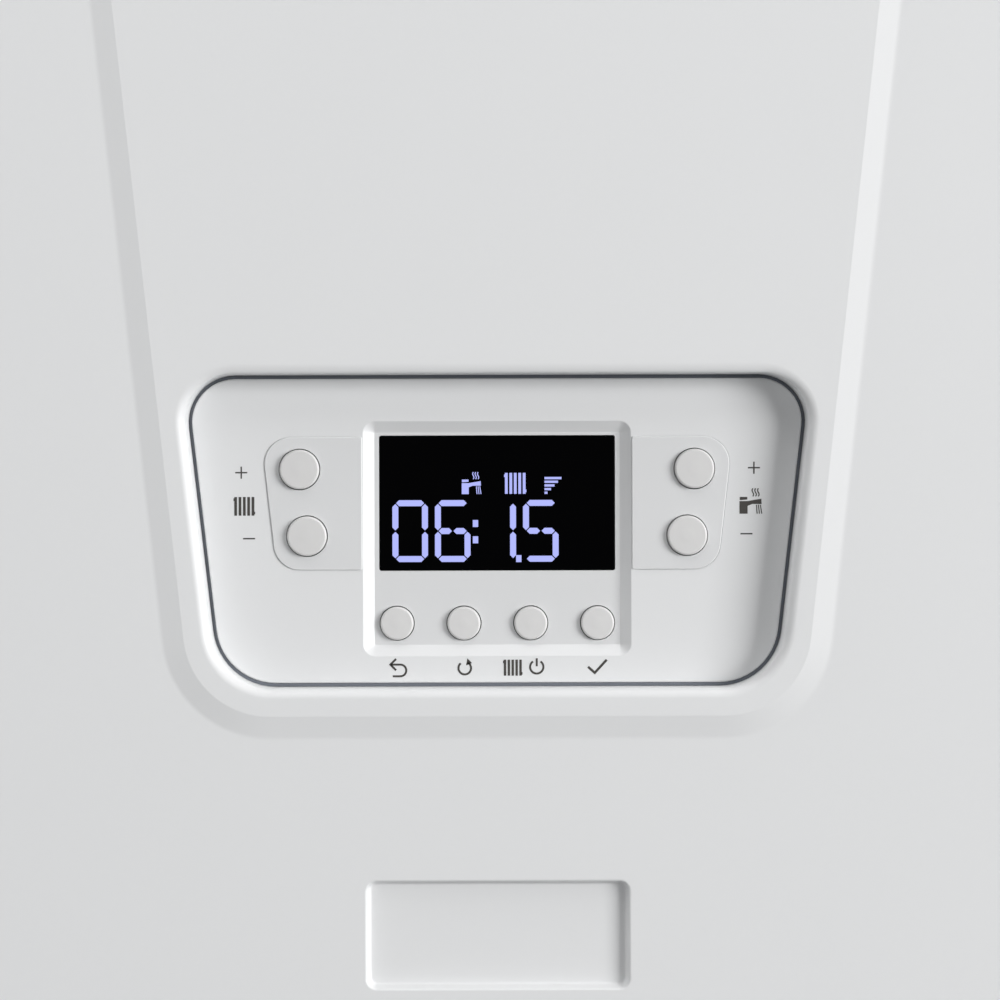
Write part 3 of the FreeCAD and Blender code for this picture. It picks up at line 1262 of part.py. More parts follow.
doc.recompute()
for thing in doc.Objects:
    if "Invalid" in thing.State or "Error" in thing.State:
        raise RuntimeError(f"{thing.Name} ({thing.Label}) did not build: {thing.getStatusString()}")
os.makedirs("parts", exist_ok=True)
for piece in nodes:
    if piece.Shape.isNull() or not piece.Shape.isValid():
        raise RuntimeError(f"{piece.Label} has no valid shape")
    piece.Shape.exportStep(f"parts/{piece.Label}.step")
    print(piece.Label, len(piece.Shape.Solids), round(piece.Shape.Volume))
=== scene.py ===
# %% [markdown]
# # A wall-hung gas boiler
# The photograph looks straight at the control panel, low on the front of a white boiler. The CAD frame
# already holds every piece in its place and moves it, so this lesson dresses that frame: fine meshes for
# what the camera sees close up, and made finishes for all the rest.

# %% Load the frame
import bmesh
import bpy
import math
from mathutils import Matrix, Vector
from mathutils.bvhtree import BVHTree


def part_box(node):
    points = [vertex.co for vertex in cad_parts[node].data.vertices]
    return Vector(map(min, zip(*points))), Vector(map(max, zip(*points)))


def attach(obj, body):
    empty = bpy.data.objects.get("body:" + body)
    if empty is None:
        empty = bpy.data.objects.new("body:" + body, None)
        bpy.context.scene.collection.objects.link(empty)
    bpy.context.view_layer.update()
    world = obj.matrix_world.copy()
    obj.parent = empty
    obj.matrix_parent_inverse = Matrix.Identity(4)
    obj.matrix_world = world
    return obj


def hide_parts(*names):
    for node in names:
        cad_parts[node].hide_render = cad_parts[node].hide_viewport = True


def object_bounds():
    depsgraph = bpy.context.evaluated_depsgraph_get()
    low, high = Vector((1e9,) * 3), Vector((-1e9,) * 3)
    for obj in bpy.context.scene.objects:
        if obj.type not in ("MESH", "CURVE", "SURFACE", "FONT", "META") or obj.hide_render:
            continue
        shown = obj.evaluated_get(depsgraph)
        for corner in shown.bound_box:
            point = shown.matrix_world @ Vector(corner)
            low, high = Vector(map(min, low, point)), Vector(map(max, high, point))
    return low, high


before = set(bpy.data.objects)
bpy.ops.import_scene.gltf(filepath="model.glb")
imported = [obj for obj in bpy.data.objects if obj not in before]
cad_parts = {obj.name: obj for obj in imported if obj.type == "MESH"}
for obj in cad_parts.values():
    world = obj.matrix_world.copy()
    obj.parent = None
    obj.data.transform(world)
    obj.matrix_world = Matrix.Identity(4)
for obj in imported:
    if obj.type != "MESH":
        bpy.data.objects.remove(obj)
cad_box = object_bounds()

MM = 0.001

# %% [markdown]
# ## Finishes
# A real enamel, casting or pipe is never one flat colour. Three effects come back in almost every finish,
# so each is a node group: a fine grain, a lighter rim where edges are rubbed, and dust that settles on
# what faces up. The groups give out masks and heights only, and each material keeps its own shader.

# %% Grain
FLOAT, VECTOR = "NodeSocketFloat", "NodeSocketVector"
CLOUD_SHARE, FINE_DETAIL, FINE_ROUGHNESS, CLOUD_DETAIL = 0.06, 3.0, 0.6, 4.0


def new_group(name, inputs, outputs):
    """A shader group with named sockets, given as (name, socket type, default)."""
    tree = bpy.data.node_groups.new(name, "ShaderNodeTree")
    for label, kind, default in inputs:
        socket = tree.interface.new_socket(label, in_out="INPUT", socket_type=kind)
        if default is not None:
            socket.default_value = default
    for label, kind in outputs:
        tree.interface.new_socket(label, in_out="OUTPUT", socket_type=kind)
    return tree, tree.nodes.new("NodeGroupInput"), tree.nodes.new("NodeGroupOutput")


def add_node(tree, kind, links=(), **settings):
    """A node with its settings and its inputs, linked or set. A node as a source gives its first output."""
    made = tree.nodes.new(kind)
    for key, value in settings.items():
        setattr(made, key, value)
    for key, source in links:
        source = source.outputs[0] if isinstance(source, bpy.types.Node) else source
        if isinstance(source, bpy.types.NodeSocket):
            tree.links.new(source, made.inputs[key])
        else:
            made.inputs[key].default_value = source
    return made


def product(tree, first, second):
    """Two numbers multiplied, each from a node or plain."""
    return add_node(tree, "ShaderNodeMath", [(0, first), (1, second)], operation="MULTIPLY").outputs[0]


def noise(tree, place, scale, detail=2.0, roughness=0.5):
    made = add_node(tree, "ShaderNodeTexNoise", [("Vector", place), ("Scale", scale), ("Detail", detail),
                                                 ("Roughness", roughness)])
    return made.outputs["Fac"]


def make_grain_group():
    tree, start, end = new_group(
        "fine_grain",
        [("Vector", VECTOR, None), ("Scale", FLOAT, 800.0), ("Stretch", VECTOR, (1, 1, 1))],
        [("Value", FLOAT), ("Cloud", FLOAT)])
    place, scale = start.outputs["Vector"], start.outputs["Scale"]
    stretched = add_node(tree, "ShaderNodeVectorMath", [(0, place), (1, start.outputs["Stretch"])],
                         operation="MULTIPLY")
    fine = noise(tree, stretched, scale, FINE_DETAIL, FINE_ROUGHNESS)
    cloud = noise(tree, place, product(tree, scale, CLOUD_SHARE), CLOUD_DETAIL)
    tree.links.new(fine, end.inputs["Value"])
    tree.links.new(cloud, end.inputs["Cloud"])
    return tree


GRAIN = make_grain_group()
print("group:", GRAIN.name)

# %% Rubbed edges
RUB_START, RUB_FULL, RUB_PATCHES, RUB_SAMPLES = 0.99, 0.82, 140.0, 4


def make_rub_group():
    """A mask that is 1 along edges, from the angle between the true and a rounded normal."""
    tree, start, end = new_group(
        "rubbed_edges", [("Radius", FLOAT, 0.001), ("Vector", VECTOR, None)], [("Mask", FLOAT)])
    rounded = add_node(tree, "ShaderNodeBevel", [("Radius", start.outputs["Radius"])], samples=RUB_SAMPLES)
    true = add_node(tree, "ShaderNodeNewGeometry")
    same = add_node(tree, "ShaderNodeVectorMath", [(0, rounded), (1, true.outputs["Normal"])],
                    operation="DOT_PRODUCT")
    edge = add_node(tree, "ShaderNodeMapRange", [("Value", same.outputs["Value"]), ("From Min", RUB_START),
                                                 ("From Max", RUB_FULL)])
    mask = product(tree, edge, noise(tree, start.outputs["Vector"], RUB_PATCHES))
    tree.links.new(mask, end.inputs["Mask"])
    return tree


RUB = make_rub_group()
print("group:", RUB.name)

# %% Settled dust
DUST_TILT, DUST_PATCHES, DUST_DETAIL = 0.35, 45.0, 5.0


def make_dust_group():
    tree, start, end = new_group(
        "settled_dust", [("Vector", VECTOR, None), ("Amount", FLOAT, 0.2)], [("Mask", FLOAT)])
    true = add_node(tree, "ShaderNodeNewGeometry")
    split = add_node(tree, "ShaderNodeSeparateXYZ", [(0, true.outputs["Normal"])])
    upward = add_node(tree, "ShaderNodeMapRange", [("Value", split.outputs["Z"]), ("From Min", DUST_TILT),
                                                   ("From Max", 1.0)])
    lying = product(tree, upward, noise(tree, start.outputs["Vector"], DUST_PATCHES, DUST_DETAIL))
    tree.links.new(product(tree, lying, start.outputs["Amount"]), end.inputs["Mask"])
    return tree


DUST = make_dust_group()
print("group:", DUST.name)

# %% [markdown]
# One function lays out a finish: grain tints the colour and roughness a little and raises a bump, rubbed
# edges show a second colour, and dust lies on top. Each finish then only states its own values, so white
# enamel, spangled zinc, drawn copper and sand-cast aluminium differ in scale and strength as they do in
# the hand.

# %% The finish function
DUST_COLOUR, COAT_ROUGHNESS = (0.42, 0.40, 0.37), 0.15
FIRST_COLOUR, SECOND_COLOUR, MIXED_COLOUR = 6, 7, 2
LIGHTER_SHARE, CLOUD_SHADE = 0.5, 0.5


def blend_colour(tree, mask, first, second):
    """A colour between two, each a socket or plain values."""
    first, second = (colour if isinstance(colour, bpy.types.NodeSocket) else (*colour, 1)
                     for colour in (first, second))
    made = add_node(tree, "ShaderNodeMix", [("Factor", mask), (FIRST_COLOUR, first), (SECOND_COLOUR, second)],
                    data_type="RGBA")
    return made.outputs[MIXED_COLOUR]


def scaled(tree, mask, low, high):
    """A mask that runs from low to high in place of 0 to 1."""
    made = add_node(tree, "ShaderNodeMapRange", [("Value", mask), ("To Min", low), ("To Max", high)])
    return made.outputs[0]


def finish(name, colour, roughness, metallic=0.0, tint=0.06, grain=900.0, stretch=(1, 1, 1), bump=0.05,
           depth=0.00005, rub=None, rub_radius=0.0008, dust=0.0, coat=0.0, sheen_rough=0.06, gloss=0.5):
    """A finish whose colour, roughness and surface all follow one grain."""
    material = bpy.data.materials.new(name)
    material.use_nodes = True
    tree = material.node_tree
    shader = tree.nodes["Principled BSDF"]
    place = add_node(tree, "ShaderNodeTexCoord").outputs["Object"]
    grains = add_node(tree, "ShaderNodeGroup", [("Vector", place), ("Scale", grain), ("Stretch", stretch)],
                      node_tree=GRAIN)
    darker = tuple(part * (1 - tint) for part in colour)
    lighter = tuple(min(1.0, part * (1 + tint * LIGHTER_SHARE)) for part in colour)
    shade = blend_colour(tree, grains.outputs["Value"], darker, lighter)
    shade = blend_colour(tree, scaled(tree, grains.outputs["Cloud"], 0.0, CLOUD_SHADE), shade, colour)
    if rub:
        edges = add_node(tree, "ShaderNodeGroup", [("Radius", rub_radius), ("Vector", place)], node_tree=RUB)
        shade = blend_colour(tree, edges.outputs["Mask"], shade, rub)
    if dust:
        lying = add_node(tree, "ShaderNodeGroup", [("Vector", place), ("Amount", dust)], node_tree=DUST)
        shade = blend_colour(tree, lying.outputs["Mask"], shade, DUST_COLOUR)
    tree.links.new(shade, shader.inputs["Base Color"])
    tree.links.new(scaled(tree, grains.outputs["Cloud"], roughness - sheen_rough, roughness + sheen_rough),
                   shader.inputs["Roughness"])
    relief = add_node(tree, "ShaderNodeBump", [("Height", grains.outputs["Value"]), ("Strength", bump),
                                               ("Distance", depth)])
    tree.links.new(relief.outputs["Normal"], shader.inputs["Normal"])
    for key, value in (("Metallic", metallic), ("Specular IOR Level", gloss), ("Coat Weight", coat),
                       ("Coat Roughness", COAT_ROUGHNESS)):
        shader.inputs[key].default_value = value
    return material


print("finish:", finish.__doc__)

# %% The finishes
STEEL_EDGE, SEGMENT_GLOW = (0.62, 0.62, 0.61), (0.42, 0.46, 0.95, 1)
ALONG_X, ALONG_Y, ALONG_Z = (0.06, 1, 1), (1, 0.06, 1), (1, 1, 0.06)
FINISHES = {
    "case_white": finish("white enamel", (0.78, 0.785, 0.79), 0.50, tint=0.012, grain=520, bump=0.10,
                         depth=0.00004, dust=0.06, coat=0.03),
    "panel_white": finish("white moulded plastic", (0.78, 0.785, 0.79), 0.42, tint=0.012, grain=2600,
                          bump=0.10, depth=0.00003),
    "button_grey": finish("warm white button plastic", (0.70, 0.695, 0.69), 0.48, tint=0.015, grain=3000,
                          bump=0.12, depth=0.00003),
    "display_black": finish("black display glass", (0.0006, 0.0006, 0.0008), 0.12, tint=0.3, grain=60,
                            bump=0.0, sheen_rough=0.03, gloss=0.02),
    "galvanised": finish("galvanised sheet", (0.56, 0.58, 0.60), 0.40, 0.85, tint=0.22, grain=95, bump=0.10,
                         rub=STEEL_EDGE, dust=0.25),
    "zinc_screw": finish("bright zinc", (0.66, 0.66, 0.64), 0.28, 1.0, tint=0.10, grain=1500, bump=0.10),
    "black_rubber": finish("black rubber", (0.022, 0.022, 0.023), 0.75, tint=0.25, grain=1400, bump=0.35,
                           dust=0.25),
    "box_grey": finish("grey housing plastic", (0.20, 0.21, 0.22), 0.55, tint=0.08, grain=1700, bump=0.35,
                       rub=(0.30, 0.31, 0.32), dust=0.25),
    "circuit_green": finish("green circuit board", (0.02, 0.12, 0.05), 0.38, tint=0.3, grain=700, bump=0.1),
    "switch_black": finish("black switch plastic", (0.02, 0.02, 0.022), 0.45, tint=0.2, grain=2000, bump=0.2),
    "stainless": finish("brushed stainless steel", (0.60, 0.59, 0.57), 0.30, 1.0, tint=0.12, grain=900,
                        stretch=ALONG_Y, bump=0.12, rub=(0.75, 0.74, 0.72), dust=0.15),
    "cast_aluminium": finish("sand-cast aluminium", (0.52, 0.53, 0.54), 0.48, 0.9, tint=0.18, grain=620,
                             bump=0.55, depth=0.00025, rub=(0.76, 0.76, 0.76), dust=0.2),
    "ceramic_white": finish("white ceramic", (0.80, 0.78, 0.73), 0.35, tint=0.06, grain=900, bump=0.15),
    "black_plastic": finish("black glass-filled plastic", (0.026, 0.027, 0.029), 0.52, tint=0.2, grain=1500,
                            bump=0.4, rub=(0.07, 0.07, 0.07), dust=0.3),
    "flue_grey": finish("grey flue plastic", (0.42, 0.43, 0.43), 0.45, tint=0.06, grain=1200, bump=0.2,
                        dust=0.2),
    "vessel_red": finish("red vessel lacquer", (0.46, 0.025, 0.02), 0.35, tint=0.12, grain=420, bump=0.2,
                         depth=0.0001, dust=0.35, coat=0.2),
    "copper": finish("drawn copper", (0.72, 0.34, 0.20), 0.28, 1.0, tint=0.25, grain=320, stretch=ALONG_Z,
                     bump=0.1, dust=0.1),
    "brass": finish("turned brass", (0.68, 0.50, 0.22), 0.30, 1.0, tint=0.18, grain=900, stretch=ALONG_X,
                    bump=0.15, rub=(0.85, 0.70, 0.40), dust=0.15),
    "copper_brazed": finish("brazed stainless plates", (0.58, 0.55, 0.51), 0.34, 1.0, tint=0.2, grain=500,
                            bump=0.15, rub=(0.70, 0.36, 0.22), rub_radius=0.0012),
    "pump_black": finish("black pump lacquer", (0.03, 0.031, 0.034), 0.42, tint=0.2, grain=700, bump=0.35,
                         depth=0.0001, rub=(0.10, 0.10, 0.10), dust=0.3),
    "knob_red": finish("red knob plastic", (0.50, 0.02, 0.02), 0.42, tint=0.1, grain=1500, bump=0.25),
    "knob_blue": finish("blue knob plastic", (0.02, 0.10, 0.42), 0.42, tint=0.1, grain=1500, bump=0.25),
    "trap_grey": finish("pale trap plastic", (0.56, 0.57, 0.56), 0.5, tint=0.06, grain=1300, bump=0.2,
                        dust=0.25),
}
# A greyer satin white for the pads and the sunken floor. On the sunken floor it is painted shade of the
# recess, on the pads it is their own tone.
FILM_AND_RECESS_SHADE = finish("satin panel film with painted recess shade", (0.725, 0.73, 0.735), 0.46, tint=0.012, grain=2600, bump=0.12,
              depth=0.00003)
# A grey seal, made darker than its own grey as painted shade for the gap round the panel.
SEAL_WITH_GAP_SHADE = finish("grey panel seal with painted gap shade", (0.15, 0.165, 0.19), 0.4, tint=0.05, grain=1500, bump=0.1)
INK = finish("printed ink", (0.045, 0.04, 0.036), 0.6, tint=0.2, grain=3000, bump=0.1)
SEGMENTS = finish("lit display segments", (0.02, 0.02, 0.03), 0.4, tint=0.1, grain=2000, bump=0.0)
glow = SEGMENTS.node_tree.nodes["Principled BSDF"]
glow.inputs["Emission Color"].default_value = SEGMENT_GLOW
glow.inputs["Emission Strength"].default_value = 1.0

for cad_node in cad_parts.values():
    slot_name = cad_node.data.materials[0].name.split(".")[0]
    cad_node.data.materials[0] = FINISHES[slot_name]
print("finishes:", len(FINISHES))

# %% [markdown]
# ## Tools for pressed and moulded forms
# The shield, the opening's lip, the panel and its recess are all one idea: an outline with round corners,
# swept along a small cross-section. An outline is kept as points with outward normals, so the same outline
# can be drawn in or let out to any ring of the section. Rings are joined with quads and the flats between
# them are filled, which gives clean meshes without cutting one solid with another.

# %% Outlines
ARC_STEPS, SECTION_STEPS, STRAIGHT = 12, 6, 1e-6


def soften(corners, radii, steps=ARC_STEPS, closed=True):
    """Points and outward normals along a counter-clockwise outline with its corners rounded."""
    line, count = [], len(corners)
    for index, (corner, radius) in enumerate(zip(corners, radii)):
        here = Vector(corner)
        ends = None if closed or 0 < index < count - 1 else (1 if index == 0 else -1)
        before = (here - Vector(corners[index - 1])).normalized()
        after = (Vector(corners[(index + 1) % count]) - here).normalized()
        if ends:
            before = after = after if ends == 1 else before
        first, last = Vector((before.y, -before.x)), Vector((after.y, -after.x))
        turn = -first.angle_signed(last, 0)
        mitre = (first + last) / (1 + first.dot(last))
        if radius == 0 or abs(turn) < STRAIGHT:
            line.append((here, mitre))
            continue
        side = 1 if turn > 0 else -1
        centre = here - mitre * radius * side
        for step in range(steps + 1):
            normal = Matrix.Rotation(turn * step / steps, 2) @ first
            line.append((centre + normal * radius * side, normal))
    return line


def section(corners, radii, steps=SECTION_STEPS):
    """A cross-section as (let out, depth) pairs with its corners rounded."""
    return [tuple(point) for point, _ in soften(corners, radii, steps, closed=False)]


def trapezoid(top_half, bottom_half, top, bottom):
    return [(-bottom_half, bottom), (bottom_half, bottom), (top_half, top), (-top_half, top)]


print("a softened square has", len(soften(trapezoid(1, 1, 1, -1), [0.5] * 4)), "points")


# %% Rings and fills
def add_ring(mesh, outline, grow, y):
    """One ring of an outline, let out by grow, at a depth that may depend on the normal."""
    return [mesh.verts.new((point.x + normal.x * grow, y(normal) if callable(y) else y,
                            point.y + normal.y * grow)) for point, normal in outline]


def join_rings(mesh, rings):
    """Quads between each closed ring and the next."""
    for lower, upper in zip(rings, rings[1:]):
        for index in range(len(lower)):
            after = (index + 1) % len(lower)
            mesh.faces.new((lower[index], lower[after], upper[after], upper[index]))


def sweep(mesh, outline, profile):
    """Rings of an outline along a section, joined, first to last."""
    rings = [add_ring(mesh, outline, grow, y) for grow, y in profile]
    join_rings(mesh, rings)
    return rings


def fill(mesh, *loops, slot=0):
    """Fills the flat between an outer loop of points and the loops inside it, in one of the finishes."""
    edges = []
    for loop in loops:
        for first, last in zip(loop, loop[1:] + loop[:1]):
            edges.append(mesh.edges.get((first, last)) or mesh.edges.new((first, last)))
    filled = bmesh.ops.triangle_fill(mesh, use_beauty=True, edges=edges)
    for face in filled["geom"]:
        if isinstance(face, bmesh.types.BMFace):
            face.material_index = slot


print("sweep:", sweep.__doc__)

# %% Pieces
MERGE, FACING, CREASE = 1e-7, 0.5, 32


def add_object(name, data):
    made = bpy.data.objects.new(name, data)
    bpy.context.scene.collection.objects.link(made)
    return made


def carry(piece, body, slot, replaced=()):
    """Puts a piece on its body, in the place of any CAD nodes. Its slot is not used."""
    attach(piece, body)
    if replaced:
        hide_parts(*replaced)
    return piece


def make_piece(name, mesh, material, body, slot, replaced=(), crease=CREASE, wall=0.0):
    """Turns a mesh into a piece that rides on a body. Its largest face looks to the front."""
    bmesh.ops.remove_doubles(mesh, verts=mesh.verts, dist=MERGE)
    bmesh.ops.recalc_face_normals(mesh, faces=mesh.faces)
    if max(mesh.faces, key=lambda face: face.calc_area()).normal.y > FACING:
        bmesh.ops.reverse_faces(mesh, faces=mesh.faces)
    data = bpy.data.meshes.new(name)
    mesh.to_mesh(data)
    mesh.free()
    data.shade_smooth()
    data.set_sharp_from_angle(angle=math.radians(crease))
    for layer in material if isinstance(material, tuple) else (material,):
        data.materials.append(layer)
    piece = add_object(name, data)
    if wall:
        thick = piece.modifiers.new("wall", "SOLIDIFY")
        thick.thickness = wall
        thick.offset = -1
    even = piece.modifiers.new("even shading", "WEIGHTED_NORMAL")
    even.keep_sharp = True
    return carry(piece, body, slot, replaced)


print("make_piece:", make_piece.__doc__)

# %% [markdown]
# ## The outer case
# The case is one pressed sheet: a tray with round uprights, a shield that stands 1.2 mm proud and narrows
# downwards, and an opening with a rolled lip. The slope round the shield has a wide soft foot and a tighter
# shoulder. That is why its lit side fades out slowly on the outside and ends crisply on the inside.

# %% Sizes of the case
case_low, case_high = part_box("outer_case")
panel_low, panel_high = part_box("control_panel")
PANEL_HEIGHT = 148 * MM
CENTRE = case_low.z + PANEL_HEIGHT
FRONT = case_low.y
SHIELD_RISE, SHIELD_SLOPE, SHIELD_CORNER = 1.2 * MM, 6.5 * MM, 32 * MM
SHIELD_TOP_GAP, SHIELD_TOP_MARGIN, SHIELD_BOTTOM_HALF = 4 * MM, 34.2 * MM, 96.2 * MM
SHIELD_DROP, SHIELD_TOP_CORNER = 61.5 * MM, 12 * MM
BASE = FRONT + SHIELD_RISE
FOOT_SOFT, SHOULDER_SOFT = 7 * MM, 2.2 * MM
CASE_WALL, CASE_CORNER, CASE_FLANGE, CASE_EDGE = 1.2 * MM, 14 * MM, 25 * MM, 1.5 * MM
OPENING_HIGH, OPENING_LOW, OPENING_TOP, OPENING_BOTTOM = 46.6 * MM, -46.9 * MM, 94.3 * MM, 83.4 * MM
OPENING_CORNERS = (19 * MM, 19 * MM, 14 * MM, 14 * MM)
LIP_SOFT, LIP_LENGTH, TOP_LIP_FLATTER = 3 * MM, 12 * MM, 0.6
PULL_HALF, PULL_TOP, PULL_BOTTOM, PULL_SINK, PULL_CORNER = 39 * MM, 44 * MM, 12 * MM, 3 * MM, 3 * MM
PULL_SLOPE, PULL_SOFT = 1 * MM, 0.75 * MM
EDGE_STEPS, SHIELD_STEPS, SOFT_STEPS, CASE_CREASE = 4, 20, 8, 40
half_width = case_high.x
opening = soften(trapezoid(OPENING_TOP, OPENING_BOTTOM, CENTRE + OPENING_HIGH, CENTRE + OPENING_LOW),
                 OPENING_CORNERS)
print("panel centre at", round(CENTRE / MM, 1), "mm, front at", round(FRONT / MM, 1), "mm")


# %% Press the case
def case_plan(inset):
    """The tray's outline seen from above, from the left rear edge round the front to the right rear."""
    radius = CASE_CORNER - inset
    left = [(inset - half_width, case_high.y), (inset - half_width, BASE + CASE_FLANGE)]
    for step in range(ARC_STEPS + 1):
        angle = math.pi * (1 + step / ARC_STEPS / 2)
        left.append((CASE_CORNER - half_width + radius * math.cos(angle),
                     BASE + CASE_CORNER + radius * math.sin(angle)))
    return left + [(-x, y) for x, y in reversed(left)]


def lip_depth(y):
    """The depth of a point on the lip's round. The round is flatter along the top of the opening."""
    return lambda normal: FRONT + (y - FRONT) * (1 - TOP_LIP_FLATTER * max(0, normal.y))


def throat(face, depth, soft, steps):
    """A section that leaves a face over a round edge and goes straight back."""
    return section([(soft * 2, face), (0, face), (0, face + depth)], (0, soft, 0), steps)[1:]


def ramp(outer, inner, slope, softs, steps=SECTION_STEPS):
    """A section that slopes in from one flat to another, with a round at each end."""
    corners = [(slope, outer), (0, outer), (-slope, inner), (-slope * 2, inner)]
    return section(corners, (0, *softs, 0), steps)[1:-1]


def make_case():
    mesh = bmesh.new()
    rounding = [math.pi / 2 * step / EDGE_STEPS for step in range(EDGE_STEPS + 1)]
    rows = [(CASE_EDGE * (1 - math.sin(angle)), case_high.z - CASE_EDGE * (1 - math.cos(angle)))
            for angle in rounding]
    rows += [(inset, case_low.z + case_high.z - z) for inset, z in reversed(rows)]
    rings = [[mesh.verts.new((x, y, z)) for x, y in case_plan(inset)] for inset, z in rows]
    middle = len(rings[0]) // 2
    upper, lower = rings[len(rounding) - 1], rings[len(rounding)]
    for first, second in zip(rings, rings[1:]):
        for index in range(len(first) - 1):
            if first is upper and index == middle - 1:
                continue
            mesh.faces.new((first[index], first[index + 1], second[index + 1], second[index]))
    for ring in (rings[0], rings[-1]):
        mesh.faces.new(ring[1:-1])

    shield = soften(
        trapezoid(half_width - SHIELD_TOP_MARGIN, SHIELD_BOTTOM_HALF,
                  case_high.z - SHIELD_TOP_GAP - CASE_EDGE, CENTRE - SHIELD_DROP),
        (SHIELD_CORNER, SHIELD_CORNER, SHIELD_TOP_CORNER, SHIELD_TOP_CORNER), SHIELD_STEPS)
    slope = ramp(BASE, FRONT, SHIELD_SLOPE, (FOOT_SOFT, SHOULDER_SOFT), SOFT_STEPS)
    slope_rings = sweep(mesh, shield, slope)
    lip = throat(FRONT, LIP_LENGTH, LIP_SOFT, SOFT_STEPS)
    lip_rings = sweep(mesh, opening, [(grow, lip_depth(y)) for grow, y in lip[:-1]] + lip[-1:])
    fill(mesh, slope_rings[-1], lip_rings[0])

    low = case_low.z
    pull = soften(trapezoid(PULL_HALF, PULL_HALF, low + PULL_TOP, low + PULL_BOTTOM), [PULL_CORNER] * 4)
    dip_rings = sweep(mesh, pull, ramp(BASE, BASE + PULL_SINK, PULL_SLOPE, (PULL_SOFT, PULL_SOFT)))
    fill(mesh, dip_rings[-1])
    front_face = [upper[middle - 1], upper[middle], lower[middle], lower[middle - 1]]
    fill(mesh, front_face, slope_rings[0], dip_rings[0])
    return make_piece("pressed_case", mesh, FINISHES["case_white"], "outer_case", "case_white",
                      ["outer_case"], crease=CASE_CREASE, wall=CASE_WALL)


pressed_case = make_case()
print("case faces:", len(pressed_case.data.polygons))

# %% [markdown]
# ## The control panel
# The panel is a flat white moulding, sunk 10 mm behind the shield, so the lip of the opening throws a soft
# shadow along its right side. The middle is sunk once more with sloping walls, and two pads with buttons
# stand a hair proud in a fine groove. A grey seal closes the gap round the panel; its dark grey is painted
# shade for the gap. All of it is swept from outlines, and every hole gets a small round edge. The pads and
# the sunken floor carry a greyer satin white: on the sunken floor it is painted shade of the recess, on the
# pads it is their own tone.

# %% Sizes of the panel
PANEL_GAP, PANEL_EDGE = 1.1 * MM, 0.5 * MM
PAD_RISE, PAD_TOP, PAD_BOTTOM, PAD_CORNER = 0.4 * MM, 28 * MM, -11.9 * MM, 8 * MM
PAD_TOP_HALF, PAD_BOTTOM_HALF, PAD_GAP = 70.7 * MM, 66.2 * MM, 0.25 * MM
PAD_TUCK, GROOVE = 1.5 * MM, 0.2 * MM
RECESS_HALF, RECESS_TOP, RECESS_BOTTOM = 40.2 * MM, 32.7 * MM, -37.8 * MM
RECESS_SINK, RECESS_SLOPE, RECESS_CORNER = 2.2 * MM, 3.3 * MM, 3.6 * MM
BUTTON_GAP, BUTTON_FLANGE, HOLE_SOFT, HOLE_DEPTH = 0.28 * MM, 1.2 * MM, 0.1 * MM, 2.5 * MM
RECESS_EDGE, RECESS_FOOT, FINE_STEPS = 0.5 * MM, 0.4 * MM, 4
PAD_EDGE, PAD_INSET, PAD_SQUARE = 0.3 * MM, 1 * MM, 0.6 * MM
GLASS_CORNER, GLASS_PLAY, EASE_STEPS = 0.6 * MM, 0.1 * MM, 3
BUTTONS = [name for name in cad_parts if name.startswith("button_") and name != "button_switches"]
FLOOR = panel_low.y + PAD_RISE
glass_low, glass_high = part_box("display_glass")
glass_outline = soften([(glass_low.x, glass_low.z), (glass_high.x, glass_low.z), (glass_high.x, glass_high.z),
                        (glass_low.x, glass_high.z)], [GLASS_CORNER] * 4, FINE_STEPS)
print("panel face at", round(FLOOR / MM, 1), "mm, with holes for", len(BUTTONS), "buttons")


# %% Mould the panel
def rim(back, face, inset, soft, steps=SECTION_STEPS):
    """A section that comes forward to a face and turns in over a round edge."""
    return section([(0, back), (0, face), (-inset, face)], (0, soft, 0), steps)


def round_ways(count, first=0):
    """Directions set out evenly round a circle from a first angle in degrees, as (cosine, sine)."""
    turns = [math.radians(first + 360 * step / count) for step in range(count)]
    return [(math.cos(turn), math.sin(turn)) for turn in turns]


def circle(x, z, radius, steps=64):
    """A round outline."""
    normals = [Vector(way) for way in round_ways(steps)]
    return [(Vector((x, z)) + normal * radius, normal) for normal in normals]


def button_place(name):
    low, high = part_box(name)
    return (low.x + high.x) / 2, (low.z + high.z) / 2, (high.x - low.x) / 2 - BUTTON_FLANGE


def hole(mesh, outline, y):
    """A soft-edged hole through a flat at depth y. Gives the ring that lies in the flat."""
    return sweep(mesh, outline, throat(y, HOLE_DEPTH, HOLE_SOFT, EASE_STEPS))[0]


